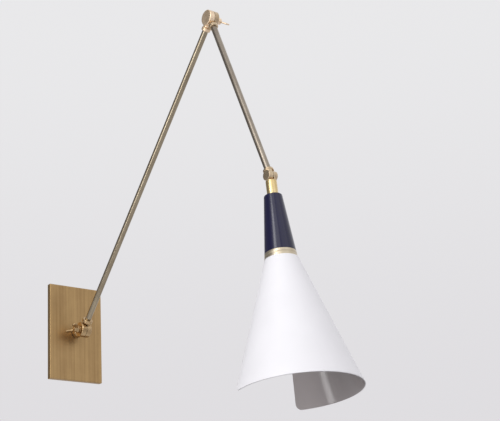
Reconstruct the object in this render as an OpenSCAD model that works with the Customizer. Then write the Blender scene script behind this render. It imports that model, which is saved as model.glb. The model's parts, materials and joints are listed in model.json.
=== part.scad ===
// Articulated wall lamp: wall plate, turning stem, two arms on half-lapped knuckles with wing nuts,
// and an open-backed cone shade that tilts on a small knuckle and turns in its sleeve.
// Millimetres. Origin: middle of the plate on the wall plane. +X right, -Y into the room, +Z up.

/* [Show] */

/* [Wall plate] */
// Width of the plate
plate_width = 103; // [80:1:160]
// Height of the plate
plate_height = 170; // [130:1:240]
// How far the plate's face stands off the wall
plate_depth = 8.5; // [8:0.5:14]
// Thickness of the plate's folded sheet
plate_sheet = 1.5; // [1:0.25:1.75]
// Middle distance between the strap's two slotted wall holes
wall_hole_spacing = 80; // [70:1:90]
// Width of each slotted hole
wall_slot_width = 5; // [4:0.5:6]
// Overall length of each slotted hole
wall_slot_length = 14; // [8:1:18]

/* [Arms] */
// Distance of the lower knuckle's pivot from the wall
knuckle_reach = 35.1; // [34:0.1:60]
// Lower arm, pivot to pivot
lower_arm_length = 591; // [200:1:800]
// Upper arm, pivot to pivot
upper_arm_length = 343.9; // [150:0.1:500]
// Lean of the lower arm, outward from straight up
lower_lean = 44.9; // [5:0.1:110]
// Lean of the upper arm, outward from straight down
upper_lean = 21.8; // [-10:0.1:75]
// Tilt of the shade, outward from straight down
shade_tilt = 5.3; // [-40:0.1:90]
// Outside diameter of both arm tubes
tube_diameter = 10; // [9:0.5:12]
// Wall of both arm tubes
tube_wall = 1; // [0.8:0.1:1.25]

/* [Knuckles] */
// Diameter of the eyes of the two large knuckles
eye_diameter = 26; // [25:0.5:32]
// Thickness of each half of a large knuckle
eye_thickness = 8.6; // [8:0.2:12]
// Diameter of the studs that the large knuckles turn on
stud_diameter = 6; // [5:0.5:6]
// Span of the wing nuts over both wings
wing_span = 35; // [26:1:40]
// Height of the wing nuts
wing_height = 18; // [14:0.5:20]
// Turn of the lower wing nut's wings, up from the outward direction
lower_wing_turn = 14; // [-180:1:180]
// Turn of the upper wing nut's wings, up from the outward direction
upper_wing_turn = -36; // [-180:1:180]
// Diameter and overall thickness of the small knuckle at the shade
small_eye_diameter = 16; // [16:0.5:20]

/* [Sleeve and cup] */
// Outside diameter of the polished sleeve
sleeve_diameter = 16.5; // [15:0.5:18]
// Distance from the shade's pivot down to the top of the cup
cup_distance = 32.4; // [32:0.1:60]
// Height of the tapered cup
cup_height = 90.6; // [80:0.1:120]
// Diameter of the cup at its top
cup_top_diameter = 27; // [24:0.1:32]
// Diameter of the cup at its mouth
cup_mouth_diameter = 46; // [43:0.5:52]
// Wall of the cup
cup_wall = 1.5; // [1:0.1:2]

/* [Shade] */
// Height of the metal ring between cup and shade
ring_height = 10.1; // [9:0.1:14]
// Diameter of that ring at its lower edge
ring_diameter = 48.4; // [45:0.1:54]
// Height of the cone shade
shade_height = 195; // [120:1:260]
// Diameter of the shade's rim
rim_diameter = 184; // [120:0.1:260]
// Diameter of the shade at its top
shade_top_diameter = 50; // [47:0.5:56]
// Thickness of the shade's sheet
shade_sheet = 1; // [0.8:0.1:1.5]
// Angle of the cone that is left open
open_angle = 112; // [20:1:160]
// Turn of the open side from the wall direction, towards the left
open_turn = 19.5; // [-90:0.5:90]
// Radius of the shade's two lower corners at the open side
corner_radius = 9; // [4:1:30]

/* [Bulb] */
// Diameter of the round bulb
bulb_diameter = 45; // [40:1:50]
// Overall length of the bulb with its cap
bulb_length = 78; // [74:1:86]

/* [Hidden] */

$fn = 96;

// Clearances, each on the radius or across a face
run_gap = 0.05;
seat_gap = 0.02;
face_gap = 0.05;
turn_gap = 0.4;
thread_gap = 0.02;
screw_gap = 0.15;
lead_gap = 0.2;
over = 1;
far_away = 60;

// Colours of the preview
antique_brass = [0.60, 0.49, 0.34];
polished_brass = [0.85, 0.72, 0.42];
zinc_steel = [0.70, 0.71, 0.73];
navy = [0.15, 0.15, 0.24];
white = [0.95, 0.95, 0.97];
lead_black = [0.12, 0.12, 0.12];
contact_brass = [0.80, 0.65, 0.35];
ceramic_white = [0.90, 0.89, 0.86];
opal = [0.97, 0.97, 0.95];

// Tubes and leads
tube_radius = tube_diameter / 2;
tube_bore = tube_radius - tube_wall;
lead_radius = 1.5;
lead_hole = lead_radius + lead_gap;
coil_angle = 150;
coil_tail = 14;
run_radius = lead_radius - 0.06;

// Large knuckles: half gap between the eyes, ring, groove for the lead, neck and collar
eye_radius = eye_diameter / 2;
half_gap = 0.4;
eye_face = half_gap + eye_thickness;
eye_chamfer = 0.8;
stud_radius = stud_diameter / 2;
groove_inner = stud_radius + 2.1;
groove_width = 2 * lead_hole;
groove_outer = groove_inner + groove_width;
groove_floor = half_gap + lead_gap + groove_width;
lead_offset = half_gap + lead_hole;
coil_radius = groove_inner + groove_width / 2;
ring_edge = 0.4;
friction_inner = groove_outer + ring_edge;
friction_outer = eye_radius - ring_edge - 0.2;
collar_start = eye_radius + turn_gap;
collar_floor = 1.6;
collar_radius = tube_radius + 2.4;
foot_collar_radius = tube_radius + 4;
collar_length = 8.2;
collar_end = collar_start + collar_length;
neck_radius = 6.7;
fold_chamfer = 3;
collar_chamfer = 0.7;
socket_depth = 6;
socket_start = collar_end - socket_depth;
stud_depth = 7;
stud_chamfer = 0.5;

// Washers and wing nuts of the large knuckles
flat_washer_thickness = 1;
flat_washer_radius = 6.2;
spring_washer_thickness = 1.4;
spring_washer_radius = 5.5;
flat_washer_face = eye_face + face_gap;
spring_washer_face = flat_washer_face + flat_washer_thickness;
wing_face = spring_washer_face + spring_washer_thickness;
wing_hub_radius = 6.5;
wing_hub_top = 5.2;
wing_hub_height = 8;
wing_thickness = 2.6;
wing_tip_radius = 5;
wing_root = 3.6;
stud_end = wing_face + wing_hub_height + 1.2;

// Small knuckle at the shade
small_radius = small_eye_diameter / 2;
small_gap = 0.3;
small_face = small_radius;
small_chamfer = 0.6;
small_screw_radius = 2;
small_groove_inner = small_screw_radius + 0.9;
small_groove_outer = small_groove_inner + groove_width;
small_groove_floor = small_gap + lead_gap + groove_width;
small_coil_radius = small_groove_inner + groove_width / 2;
small_lead_offset = small_gap + lead_hole;
small_ring_inner = small_groove_outer + 0.15;
small_ring_outer = small_radius - ring_edge;
small_collar_start = small_radius + turn_gap;
small_collar_end = small_collar_start + 3.8;
small_floor = 0.8;
small_head_radius = 3.9;
small_head_height = 2;
small_head_sink = small_head_height + 0.75;
small_washer_thickness = 0.6;
small_thread_depth = 6.3;
small_neck = small_radius - 0.3;

// Stem, bush and the stack behind the plate, measured along the stem from the lower pivot
stem_radius = 8.5;
plate_face = knuckle_reach - plate_depth;
stem_washer_thickness = 0.6;
stem_end = plate_face - stem_washer_thickness - face_gap;
journal_radius = 6.5;
bush_radius = journal_radius + 1.5;
bush_flange_radius = 12.5;
bush_flange = 1.4;
bush_back = plate_face + plate_sheet + bush_flange;
stop_washer_thickness = 1.1;
stop_washer_radius = 9;
stop_tab_reach = 12;
stop_tab_width = 2.4;
stop_face = bush_back + face_gap;
stem_spring_thickness = 0.7;
stem_spring_face = stop_face + stop_washer_thickness + seat_gap;
stem_nut_thickness = 2.3;
stem_nut_flats = 17;
stem_nut_face = stem_spring_face + stem_spring_thickness + seat_gap;
journal_end = stem_nut_face + stem_nut_thickness + 0.35;
journal_flat = journal_radius - 1.1;
stop_pin_radius = 0.9;
stop_pin_ring = 10.9;
stop_pin_sink = 0.9;
stop_pin_length = stop_pin_sink + face_gap + stop_washer_thickness;

// Strap behind the plate
strap_thickness = 2;
strap_hole_radius = bush_flange_radius + 0.8;
strap_width = 2 * strap_hole_radius + 10;
strap_gap = 0.3;
strap_length = plate_height - 2 * plate_sheet - 2 * strap_gap;
tab_depth = plate_depth - plate_sheet - strap_gap;
plate_screw_line = plate_depth / 2;
plate_screw_radius = 2;
plate_screw_head = 3.5;
plate_screw_length = plate_sheet + strap_gap + strap_thickness + 1;
earth_screw_radius = 2;
earth_head_radius = 3.6;
earth_head_height = 2.2;
earth_slot = 0.9;
earth_offset = [8, -24];
plate_chamfer = 0.7;

// Sleeve, pipe and cup, measured down the shade's axis from its pivot
sleeve_radius = sleeve_diameter / 2;
sleeve_bore = sleeve_radius - 1.15;
sleeve_top = small_collar_start + 0.6;
spigot_length = 8;
spigot_end = sleeve_top + spigot_length;
pipe_radius = 5;
pipe_bore = 3.2;
pipe_head_radius = sleeve_bore - turn_gap;
pipe_head_height = 2.4;
pipe_washer_thickness = 0.7;
pipe_washer_face = spigot_end + seat_gap;
pipe_top = pipe_washer_face + pipe_washer_thickness + face_gap;
sleeve_shoulder = pipe_top + pipe_head_height + face_gap;
cup_washer_thickness = 0.5;
cup_washer_face = cup_distance - cup_washer_thickness;
sleeve_end = cup_washer_face - face_gap;
cup_top_radius = cup_top_diameter / 2;
cup_mouth_radius = cup_mouth_diameter / 2;
cup_edge = 1.2;
cup_top_wall = 2.2;
cup_mouth = cup_distance + cup_height;
cup_slope = (cup_mouth_radius - cup_top_radius) / cup_height;
cup_nut_thickness = 3.5;
cup_nut_flats = 16;

// Ring and shade
ring_end = cup_mouth + ring_height;
ring_web = 1.6;
ring_wall = 1.6;
ring_lip = 4;
ring_lip_wall = 1.5;
ring_groove = 0.35;
ring_groove_width = 0.9;
ring_groove_line = 0.42;
ring_top_radius = cup_mouth_radius;
ring_bottom_radius = ring_diameter / 2;
flange_thickness = 1.2;
flange_end = ring_end + flange_thickness;
rim_radius = rim_diameter / 2;
shade_top_radius = shade_top_diameter / 2;
shade_end = ring_end + shade_height;
shade_half_angle = atan((rim_radius - shade_top_radius) / shade_height);
slant_sheet = shade_sheet / cos(shade_half_angle);
open_start = -90 - open_turn - open_angle / 2;
sheet_angle = 360 - open_angle;
corner_blend = 0.1;
sheet_top = ring_end + seat_gap;

// Lampholder, all from the ring's lower edge
holder_radius = 14;
holder_shoulder_radius = 17;
holder_shoulder = 3;
holder_seat = ring_end - ring_web;
holder_ring_height = 5;
holder_ring_radius = 18.6;
holder_mouth = flange_end + holder_ring_height;
holder_bore = 9.2;
holder_top = holder_mouth - 33;
holder_spigot = 6;
cap_radius = 12.6;
cap_wall = 1.8;
cap_height = 20;
cap_top = holder_top - cap_height;
cap_boss = 5;
pipe_end = cap_top + cap_boss + 1;
core_radius = 8;
core_top = holder_top - holder_spigot + 1;
core_flange = holder_mouth - 23;
core_flange_end = core_flange + 2;
shell_radius = 7.5;
shell_wall = 0.4;
shell_floor_hole = 3.5;
shell_end = holder_mouth - 1.5;
contact_radius = 2;
bulb_top = core_flange_end + 0.6;
terminal_offset = 4.8;
terminal_head = 2;
terminal_head_height = 2;
terminal_slot = 0.6;
terminal_radius = 1.25;
terminal_length = 7;
core_wire_radius = 0.75;

// Bulb
bulb_radius = bulb_diameter / 2;
bulb_centre = bulb_top + bulb_length - bulb_radius;
bulb_wall = 0.9;
bulb_contact_radius = 2.4;
bulb_contact_height = 1.4;
bulb_cap_radius = 6.95;
bulb_cap_cone = 2.8;
bulb_cap_end = bulb_top + 24;
bulb_cap_wall = 0.5;
bulb_neck_radius = bulb_cap_radius - bulb_cap_wall - seat_gap;
bulb_neck_bore = bulb_neck_radius - bulb_wall;
bulb_neck_sink = 6;

// Frames

// Origin at the lower knuckle's pivot
module at_lower_pivot() {
    translate([0, -knuckle_reach, 0])
        children();
}

// +Z from the lower pivot to the wall
module along_stem() {
    at_lower_pivot()
        rotate([-90, 0, 0])
            children();
}

// +Z from the lower pivot up the lower arm
module along_lower_arm() {
    at_lower_pivot()
        rotate([lower_lean, 0, 0])
            children();
}

// +Z from the upper pivot back down the lower arm
module down_lower_arm() {
    along_lower_arm()
        translate([0, 0, lower_arm_length])
            rotate([180, 0, 0])
                children();
}

// Origin at the upper knuckle's pivot
module at_upper_pivot() {
    along_lower_arm()
        translate([0, 0, lower_arm_length])
            rotate([-lower_lean, 0, 0])
                children();
}

// +Z from the upper pivot down the upper arm
module along_upper_arm() {
    at_upper_pivot()
        rotate([180 - upper_lean, 0, 0])
            children();
}

// +Z from the shade's pivot back up the upper arm
module up_upper_arm() {
    along_upper_arm()
        translate([0, 0, upper_arm_length])
            rotate([180, 0, 0])
                children();
}

// +Z from the shade's pivot down the shade's axis, +Y outward
module along_shade() {
    along_upper_arm()
        translate([0, 0, upper_arm_length])
            rotate([upper_lean - 180, 0, 0])
                rotate([180 - shade_tilt, 0, 0])
                    children();
}

// +Z of the children along +X
module across() {
    rotate([0, 90, 0])
        children();
}

// The same piece on the left side
module on_left() {
    mirror([1, 0, 0])
        children();
}

// Shapes used by several pieces

// Ring between two radii
module washer(outer, inner, thickness) {
    difference() {
        cylinder(r = outer, h = thickness);
        translate([0, 0, -over])
            cylinder(r = inner, h = thickness + 2 * over);
    }
}

// Hexagon nut of a given size across its flats
module hex_nut(flats, bore, thickness) {
    difference() {
        linear_extrude(height = thickness)
            circle(r = flats / 2 / cos(30), $fn = 6);
        translate([0, 0, -over])
            cylinder(r = bore, h = thickness + 2 * over);
    }
}

// Disc with one chamfered edge, from the mating face outward
module eye_disc(radius, near, away, chamfer) {
    rotate_extrude()
        polygon([[0, near], [radius, near], [radius, away - chamfer], [radius - chamfer, away], [0, away]]);
}

// Round collar with a large lower and a small upper chamfer
module collar(radius, start, end, low, high) {
    rotate_extrude()
        polygon([[0, start], [radius - low, start], [radius, start + low], [radius, end - high],
            [radius - high, end], [0, end]]);
}

// Right half of a neck, above the mating face
module half_neck(radius, gap, height) {
    intersection() {
        cylinder(r = radius, h = height);
        translate([gap, -far_away, 0])
            cube([far_away, 2 * far_away, height]);
    }
}

// Groove round the pivot that holds the lead
module lead_groove(inner, outer, near, floor_at) {
    translate([0, 0, near - over])
        difference() {
            cylinder(r = outer, h = floor_at - near + over);
            translate([0, 0, -over])
                cylinder(r = inner, h = floor_at - near + 3 * over);
        }
}

// Right half of a large knuckle with its neck along +Z, before it is bored
module large_solid(radius, length) {
    across()
        eye_disc(eye_radius, half_gap, eye_face, eye_chamfer);
    half_neck(neck_radius, half_gap, collar_start + over);
    collar(radius, collar_start, collar_start + length, fold_chamfer, collar_chamfer);
}

// The way of the lead through a large half: groove, hole and bore
module large_way(length) {
    across()
        lead_groove(groove_inner, groove_outer, half_gap, groove_floor);
    translate([lead_offset, 0, coil_radius])
        cylinder(r = lead_hole, h = collar_start + collar_floor + over - coil_radius);
    translate([0, 0, collar_start + collar_floor])
        cylinder(r = tube_bore, h = length);
}

// Right half of a large knuckle with a socket for an arm tube
module tube_half(radius) {
    difference() {
        large_solid(radius, collar_length);
        large_way(collar_length);
        translate([0, 0, socket_start])
            cylinder(r = tube_radius + seat_gap, h = socket_depth + over);
    }
}

// Bore through the right eye
module eye_bore(radius) {
    across()
        cylinder(r = radius, h = eye_face + over);
}

// Blind hole that holds the stud's fixed end in the right eye
module stud_hole() {
    across()
        cylinder(r = stud_radius + thread_gap, h = half_gap + stud_depth + seat_gap);
}

// Stud along +Z with its fixed end in the half at -Z
module pivot_stud() {
    translate([0, 0, -half_gap - stud_depth])
        cylinder(r = stud_radius, h = half_gap + stud_depth + stud_end - stud_chamfer);
    translate([0, 0, stud_end - stud_chamfer])
        cylinder(r1 = stud_radius, r2 = stud_radius - stud_chamfer, h = stud_chamfer);
}

// One wing of a wing nut, in the plane of its span and height
module wing_outline() {
    tip = wing_span / 2 - wing_tip_radius;
    high = wing_height - wing_tip_radius;
    translate([tip, high])
        circle(r = wing_tip_radius);
    polygon([[wing_root, 1], [wing_hub_radius - 0.6, 0.8], [tip + 3.6, high - 3.47],
        [tip - 4.2, high + 2.7], [wing_root, wing_hub_height - 0.8]]);
}

// Wing nut with its seat at z = 0 and its wings along local X
module wing_nut() {
    difference() {
        union() {
            cylinder(r1 = wing_hub_radius, r2 = wing_hub_top, h = wing_hub_height);
            for (side = [0, 180])
                rotate([0, 0, side])
                    rotate([90, 0, 0])
                        translate([0, 0, -wing_thickness / 2])
                            linear_extrude(height = wing_thickness)
                                wing_outline();
        }
        translate([0, 0, -over])
            cylinder(r = stud_radius + run_gap, h = wing_height + 2 * over);
    }
}

// Straight length of lead between two points in the XZ plane, with a round end
module lead_run(from_x, from_z, to_x, to_z) {
    length = sqrt(pow(to_x - from_x, 2) + pow(to_z - from_z, 2));
    translate([from_x, 0, from_z])
        rotate([0, atan2(to_x - from_x, to_z - from_z), 0])
            cylinder(r = run_radius, h = length);
    translate([to_x, 0, to_z])
        sphere(r = lead_radius);
}

// Lead in the right half of a knuckle: part of a turn round the pivot, then out along +Z
module knuckle_lead(offset_x, ring_radius, rise, settle) {
    translate([offset_x, 0, 0])
        across()
            rotate([0, 0, 180 - coil_tail])
                rotate_extrude(angle = coil_angle)
                    translate([ring_radius, 0])
                        circle(r = lead_radius);
    lead_run(offset_x, ring_radius, offset_x, rise);
    lead_run(offset_x, rise, 0, settle);
}

large_rise = collar_start + collar_floor + 0.6;
large_settle = large_rise + 8;
small_rise = small_collar_start + small_floor + 0.4;
small_settle = small_rise + 6;

// Plain body of the wall plate with chamfered front edges
module plate_block() {
    intersection() {
        translate([-plate_width / 2, 0, 0])
            rotate([90, 0, 90])
                linear_extrude(height = plate_width)
                    polygon([[0, -plate_height / 2], [0, plate_height / 2],
                        [plate_chamfer - plate_depth, plate_height / 2],
                        [-plate_depth, plate_height / 2 - plate_chamfer],
                        [-plate_depth, plate_chamfer - plate_height / 2],
                        [plate_chamfer - plate_depth, -plate_height / 2]]);
        translate([0, 0, -plate_height / 2])
            linear_extrude(height = plate_height)
                polygon([[-plate_width / 2, 0], [-plate_width / 2, plate_chamfer - plate_depth],
                    [plate_chamfer - plate_width / 2, -plate_depth],
                    [plate_width / 2 - plate_chamfer, -plate_depth],
                    [plate_width / 2, plate_chamfer - plate_depth], [plate_width / 2, 0]]);
    }
}

// Countersunk screw with its head's face at z = 0 and its thread towards -Z
module countersunk(head, shank, sink, length) {
    rotate_extrude()
        polygon([[0, 0], [head, 0], [shank, -sink], [shank, -length], [0, -length]]);
}

// Children at the plate's lower and upper edge, +Z away from the middle
module at_plate_edges() {
    for (side = [0, 180])
        rotate([0, side, 0])
            translate([0, -plate_screw_line, plate_height / 2])
                children();
}

// Fixed to the wall

module back_plate() {
    inner_width = plate_width - 2 * plate_sheet;
    inner_height = plate_height - 2 * plate_sheet;
    color(antique_brass)
        difference() {
            plate_block();
            translate([-inner_width / 2, plate_sheet - plate_depth, -inner_height / 2])
                cube([inner_width, plate_depth, inner_height]);
            along_stem()
                cylinder(r = bush_radius + seat_gap, h = knuckle_reach);
            at_plate_edges()
                countersunk(plate_screw_head + seat_gap, plate_screw_radius + screw_gap,
                    plate_sheet - 0.3, plate_sheet + over);
        }
}

module mounting_strap() {
    slot_run = (wall_slot_length - wall_slot_width) / 2;
    color(zinc_steel)
        difference() {
            union() {
                translate([-strap_width / 2, -strap_thickness, -strap_length / 2])
                    cube([strap_width, strap_thickness, strap_length]);
                for (low = [-strap_length / 2, strap_length / 2 - strap_thickness])
                    translate([-strap_width / 2, -tab_depth, low])
                        cube([strap_width, tab_depth, strap_thickness]);
            }
            rotate([90, 0, 0])
                translate([0, 0, -over])
                    cylinder(r = strap_hole_radius, h = strap_thickness + 2 * over);
            for (middle = [-wall_hole_spacing / 2, wall_hole_spacing / 2])
                translate([0, over, middle])
                    rotate([90, 0, 0])
                        union() {
                            for (end = [-slot_run, slot_run])
                                translate([0, end, 0])
                                    cylinder(r = wall_slot_width / 2, h = strap_thickness + 2 * over);
                            translate([-wall_slot_width / 2, -slot_run, 0])
                                cube([wall_slot_width, 2 * slot_run, strap_thickness + 2 * over]);
                        }
            at_plate_edges()
                translate([0, 0, -plate_screw_length - over])
                    cylinder(r = plate_screw_radius + thread_gap, h = plate_screw_length + 2 * over);
            translate([earth_offset[0], over, earth_offset[1]])
                rotate([90, 0, 0])
                    cylinder(r = earth_screw_radius + thread_gap, h = strap_thickness + 2 * over);
        }
}

module plate_screws() {
    color(antique_brass)
        at_plate_edges()
            difference() {
                countersunk(plate_screw_head, plate_screw_radius, plate_sheet - 0.3, plate_screw_length);
                translate([-far_away, -0.4, -0.7])
                    cube([2 * far_away, 0.8, over + 0.7]);
            }
}

module earth_screw() {
    color(contact_brass)
        translate([earth_offset[0], -strap_thickness, earth_offset[1]])
            rotate([90, 0, 0])
                difference() {
                    union() {
                        translate([0, 0, seat_gap])
                            cylinder(r = earth_head_radius, h = earth_head_height);
                        translate([0, 0, seat_gap - strap_thickness])
                            cylinder(r = earth_screw_radius, h = strap_thickness);
                    }
                    translate([-far_away, -earth_slot / 2, earth_head_height - 1])
                        cube([2 * far_away, earth_slot, 2 * over]);
                }
}

module stem_bush() {
    color(antique_brass)
        along_stem()
            difference() {
                union() {
                    translate([0, 0, plate_face + seat_gap])
                        cylinder(r = bush_radius, h = plate_sheet);
                    translate([0, 0, plate_face + plate_sheet + seat_gap])
                        cylinder(r = bush_flange_radius, h = bush_flange - seat_gap);
                }
                cylinder(r = journal_radius + run_gap, h = knuckle_reach);
                translate([0, stop_pin_ring, bush_back - stop_pin_sink - seat_gap])
                    cylinder(r = stop_pin_radius + seat_gap, h = bush_flange + over);
            }
}

module stop_pin() {
    color(zinc_steel)
        along_stem()
            translate([0, stop_pin_ring, bush_back - stop_pin_sink])
                cylinder(r = stop_pin_radius, h = stop_pin_length);
}

// Turning in the bush

module stem_knuckle() {
    color(antique_brass)
        along_stem()
            on_left()
                difference() {
                    union() {
                        large_solid(stem_radius, stem_end - collar_start);
                        translate([0, 0, stem_end - over])
                            cylinder(r = journal_radius, h = journal_end - stem_end + over);
                    }
                    large_way(knuckle_reach);
                    eye_bore(stud_radius + run_gap);
                    translate([journal_flat, -far_away, stop_face])
                        cube([far_away, 2 * far_away, far_away]);
                }
}

module stem_washer() {
    color(lead_black)
        along_stem()
            translate([0, 0, stem_end + seat_gap])
                washer(stem_radius, journal_radius + run_gap, stem_washer_thickness);
}

module stop_washer() {
    color(zinc_steel)
        along_stem()
            translate([0, 0, stop_face])
                difference() {
                    union() {
                        cylinder(r = stop_washer_radius, h = stop_washer_thickness);
                        translate([-stop_tab_width / 2, -stop_tab_reach, 0])
                            cube([stop_tab_width, stop_tab_reach, stop_washer_thickness]);
                    }
                    translate([0, 0, -over])
                        intersection() {
                            cylinder(r = journal_radius + seat_gap, h = far_away);
                            translate([-journal_flat - seat_gap, -far_away, 0])
                                cube([far_away, 2 * far_away, far_away]);
                        }
                }
}

module stem_spring_washer() {
    color(zinc_steel)
        along_stem()
            translate([0, 0, stem_spring_face])
                washer(stop_washer_radius, journal_radius + run_gap, stem_spring_thickness);
}

module stem_nut() {
    color(antique_brass)
        along_stem()
            translate([0, 0, stem_nut_face])
                hex_nut(stem_nut_flats, journal_radius + thread_gap, stem_nut_thickness);
}

module stem_lead() {
    color(lead_black)
        along_stem() {
            on_left()
                knuckle_lead(lead_offset, coil_radius, large_rise, large_settle);
            translate([0, 0, large_settle])
                cylinder(r = run_radius, h = knuckle_reach - large_settle - face_gap);
        }
}

// Lower arm

module lower_arm_foot() {
    color(antique_brass)
        along_lower_arm()
            difference() {
                tube_half(foot_collar_radius);
                stud_hole();
            }
}

module lower_arm_tube() {
    color(antique_brass)
        along_lower_arm()
            translate([0, 0, socket_start + seat_gap])
                washer(tube_radius, tube_bore, lower_arm_length - 2 * socket_start - 2 * seat_gap);
}

module lower_arm_head() {
    color(antique_brass)
        down_lower_arm()
            on_left()
                difference() {
                    tube_half(collar_radius);
                    stud_hole();
                }
}

module lower_friction_ring() {
    color(lead_black)
        at_lower_pivot()
            across()
                translate([0, 0, face_gap - half_gap])
                    washer(friction_outer, friction_inner, 2 * half_gap - face_gap);
}

module lower_pivot_stud() {
    color(antique_brass)
        along_lower_arm()
            on_left()
                across()
                    pivot_stud();
}

module lower_flat_washer() {
    color(antique_brass)
        at_lower_pivot()
            on_left()
                across()
                    translate([0, 0, flat_washer_face])
                        washer(flat_washer_radius, stud_radius + run_gap, flat_washer_thickness);
}

module lower_spring_washer() {
    color(antique_brass)
        at_lower_pivot()
            on_left()
                across()
                    translate([0, 0, spring_washer_face + seat_gap])
                        washer(spring_washer_radius, stud_radius + run_gap,
                            spring_washer_thickness - 2 * seat_gap);
}

module lower_wing_nut() {
    color(antique_brass)
        at_lower_pivot()
            on_left()
                rotate([90 - lower_wing_turn, 0, 0])
                    across()
                        translate([0, 0, wing_face + seat_gap])
                            wing_nut();
}

module upper_friction_ring() {
    color(lead_black)
        at_upper_pivot()
            across()
                translate([0, 0, -half_gap])
                    washer(friction_outer, friction_inner, 2 * half_gap - face_gap);
}

module upper_pivot_stud() {
    color(antique_brass)
        down_lower_arm()
            across()
                pivot_stud();
}

module upper_flat_washer() {
    color(antique_brass)
        at_upper_pivot()
            across()
                translate([0, 0, flat_washer_face])
                    washer(flat_washer_radius, stud_radius + run_gap, flat_washer_thickness);
}

module upper_spring_washer() {
    color(antique_brass)
        at_upper_pivot()
            across()
                translate([0, 0, spring_washer_face + seat_gap])
                    washer(spring_washer_radius, stud_radius + run_gap,
                        spring_washer_thickness - 2 * seat_gap);
}

module upper_wing_nut() {
    color(antique_brass)
        at_upper_pivot()
            rotate([90 - upper_wing_turn, 0, 0])
                across()
                    translate([0, 0, wing_face + seat_gap])
                        wing_nut();
}

module lower_arm_lead() {
    color(lead_black) {
        along_lower_arm() {
            knuckle_lead(lead_offset, coil_radius, large_rise, large_settle);
            translate([0, 0, large_settle])
                cylinder(r = run_radius, h = lower_arm_length - 2 * large_settle);
        }
        down_lower_arm()
            on_left()
                knuckle_lead(lead_offset, coil_radius, large_rise, large_settle);
    }
}

// Upper arm

module upper_arm_head() {
    color(antique_brass)
        along_upper_arm()
            difference() {
                tube_half(collar_radius);
                eye_bore(stud_radius + run_gap);
            }
}

// Right half of the small knuckle with its neck along +Z, before it is bored
module small_solid(end, high) {
    across()
        eye_disc(small_radius, small_gap, small_face, small_chamfer);
    half_neck(small_neck, small_gap, small_collar_start + 0.4);
    collar(small_radius, small_collar_start, end, 0, high);
}

// The way of the lead through a small half: groove and hole
module small_way() {
    across()
        lead_groove(small_groove_inner, small_groove_outer, small_gap, small_groove_floor);
    translate([small_lead_offset, 0, small_coil_radius])
        cylinder(r = lead_hole, h = small_socket + over - small_coil_radius);
}

small_socket = small_collar_start + small_floor;

module upper_arm_tube() {
    color(antique_brass)
        along_upper_arm()
            translate([0, 0, socket_start + seat_gap])
                washer(tube_radius, tube_bore,
                    upper_arm_length - socket_start - small_socket - 2 * seat_gap);
}

module upper_arm_foot() {
    color(antique_brass)
        up_upper_arm()
            on_left()
                difference() {
                    small_solid(small_collar_end, small_chamfer);
                    small_way();
                    translate([0, 0, small_socket])
                        cylinder(r = tube_radius + seat_gap, h = small_collar_end);
                    across()
                        cylinder(r = small_screw_radius + thread_gap, h = small_gap + small_thread_depth);
                }
}

module upper_arm_lead() {
    color(lead_black) {
        along_upper_arm() {
            knuckle_lead(lead_offset, coil_radius, large_rise, large_settle);
            translate([0, 0, large_settle])
                cylinder(r = run_radius, h = upper_arm_length - large_settle - small_settle);
        }
        up_upper_arm()
            on_left()
                knuckle_lead(small_lead_offset, small_coil_radius, small_rise, small_settle);
    }
}

module shade_friction_ring() {
    color(lead_black)
        up_upper_arm()
            across()
                translate([0, 0, -small_gap])
                    washer(small_ring_outer, small_ring_inner, 2 * small_gap - face_gap);
}

screw_seat = small_face - small_head_sink;
screw_under_head = screw_seat + face_gap + small_washer_thickness + seat_gap;

module shade_pivot_screw() {
    color(antique_brass)
        up_upper_arm()
            across()
                difference() {
                    union() {
                        translate([0, 0, -small_gap - small_thread_depth + seat_gap])
                            cylinder(r = small_screw_radius, h = small_thread_depth + small_face - 1);
                        translate([0, 0, screw_under_head])
                            cylinder(r = small_head_radius, h = small_head_height);
                    }
                    translate([-far_away, -0.5, screw_under_head + small_head_height - 0.9])
                        cube([2 * far_away, 1, 2 * over]);
                }
}

module shade_spring_washer() {
    color(zinc_steel)
        up_upper_arm()
            across()
                translate([0, 0, screw_seat + face_gap])
                    washer(small_head_radius - 0.2, small_screw_radius + run_gap, small_washer_thickness);
}

// Shade joint

module shade_knuckle() {
    color(antique_brass)
        along_shade()
            difference() {
                union() {
                    small_solid(sleeve_top - seat_gap, 0);
                    translate([0, 0, small_collar_start + 0.2])
                        cylinder(r = sleeve_bore - seat_gap, h = spigot_end - small_collar_start - 0.2);
                }
                small_way();
                translate([0, 0, small_socket])
                    cylinder(r = tube_bore, h = spigot_end);
                across()
                    cylinder(r = small_screw_radius + run_gap, h = small_face + over);
                across()
                    translate([0, 0, screw_seat])
                        cylinder(r = small_head_radius + turn_gap, h = small_face);
            }
}

module sleeve() {
    color(polished_brass)
        along_shade()
            difference() {
                collar(sleeve_radius, sleeve_top, sleeve_end, 0, 0.4);
                translate([0, 0, sleeve_top - over])
                    cylinder(r = sleeve_bore, h = sleeve_shoulder - sleeve_top + over);
                cylinder(r = pipe_radius + run_gap, h = sleeve_end + over);
            }
}

module pipe_washer() {
    color(zinc_steel)
        along_shade()
            translate([0, 0, pipe_washer_face])
                washer(pipe_head_radius, tube_bore, pipe_washer_thickness);
}

module shade_joint_lead() {
    color(lead_black)
        along_shade() {
            knuckle_lead(small_lead_offset, small_coil_radius, small_rise, small_settle);
            translate([0, 0, small_settle])
                cylinder(r = run_radius, h = sleeve_shoulder - face_gap - small_settle);
        }
}

// Turning in the sleeve

module lamp_pipe() {
    color(contact_brass)
        along_shade()
            difference() {
                union() {
                    translate([0, 0, pipe_top])
                        cylinder(r = pipe_head_radius, h = pipe_head_height);
                    translate([0, 0, pipe_top])
                        cylinder(r = pipe_radius, h = pipe_end - pipe_top);
                }
                translate([0, 0, pipe_top - over])
                    cylinder(r = pipe_bore, h = pipe_end - pipe_top + 2 * over);
            }
}

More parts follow.
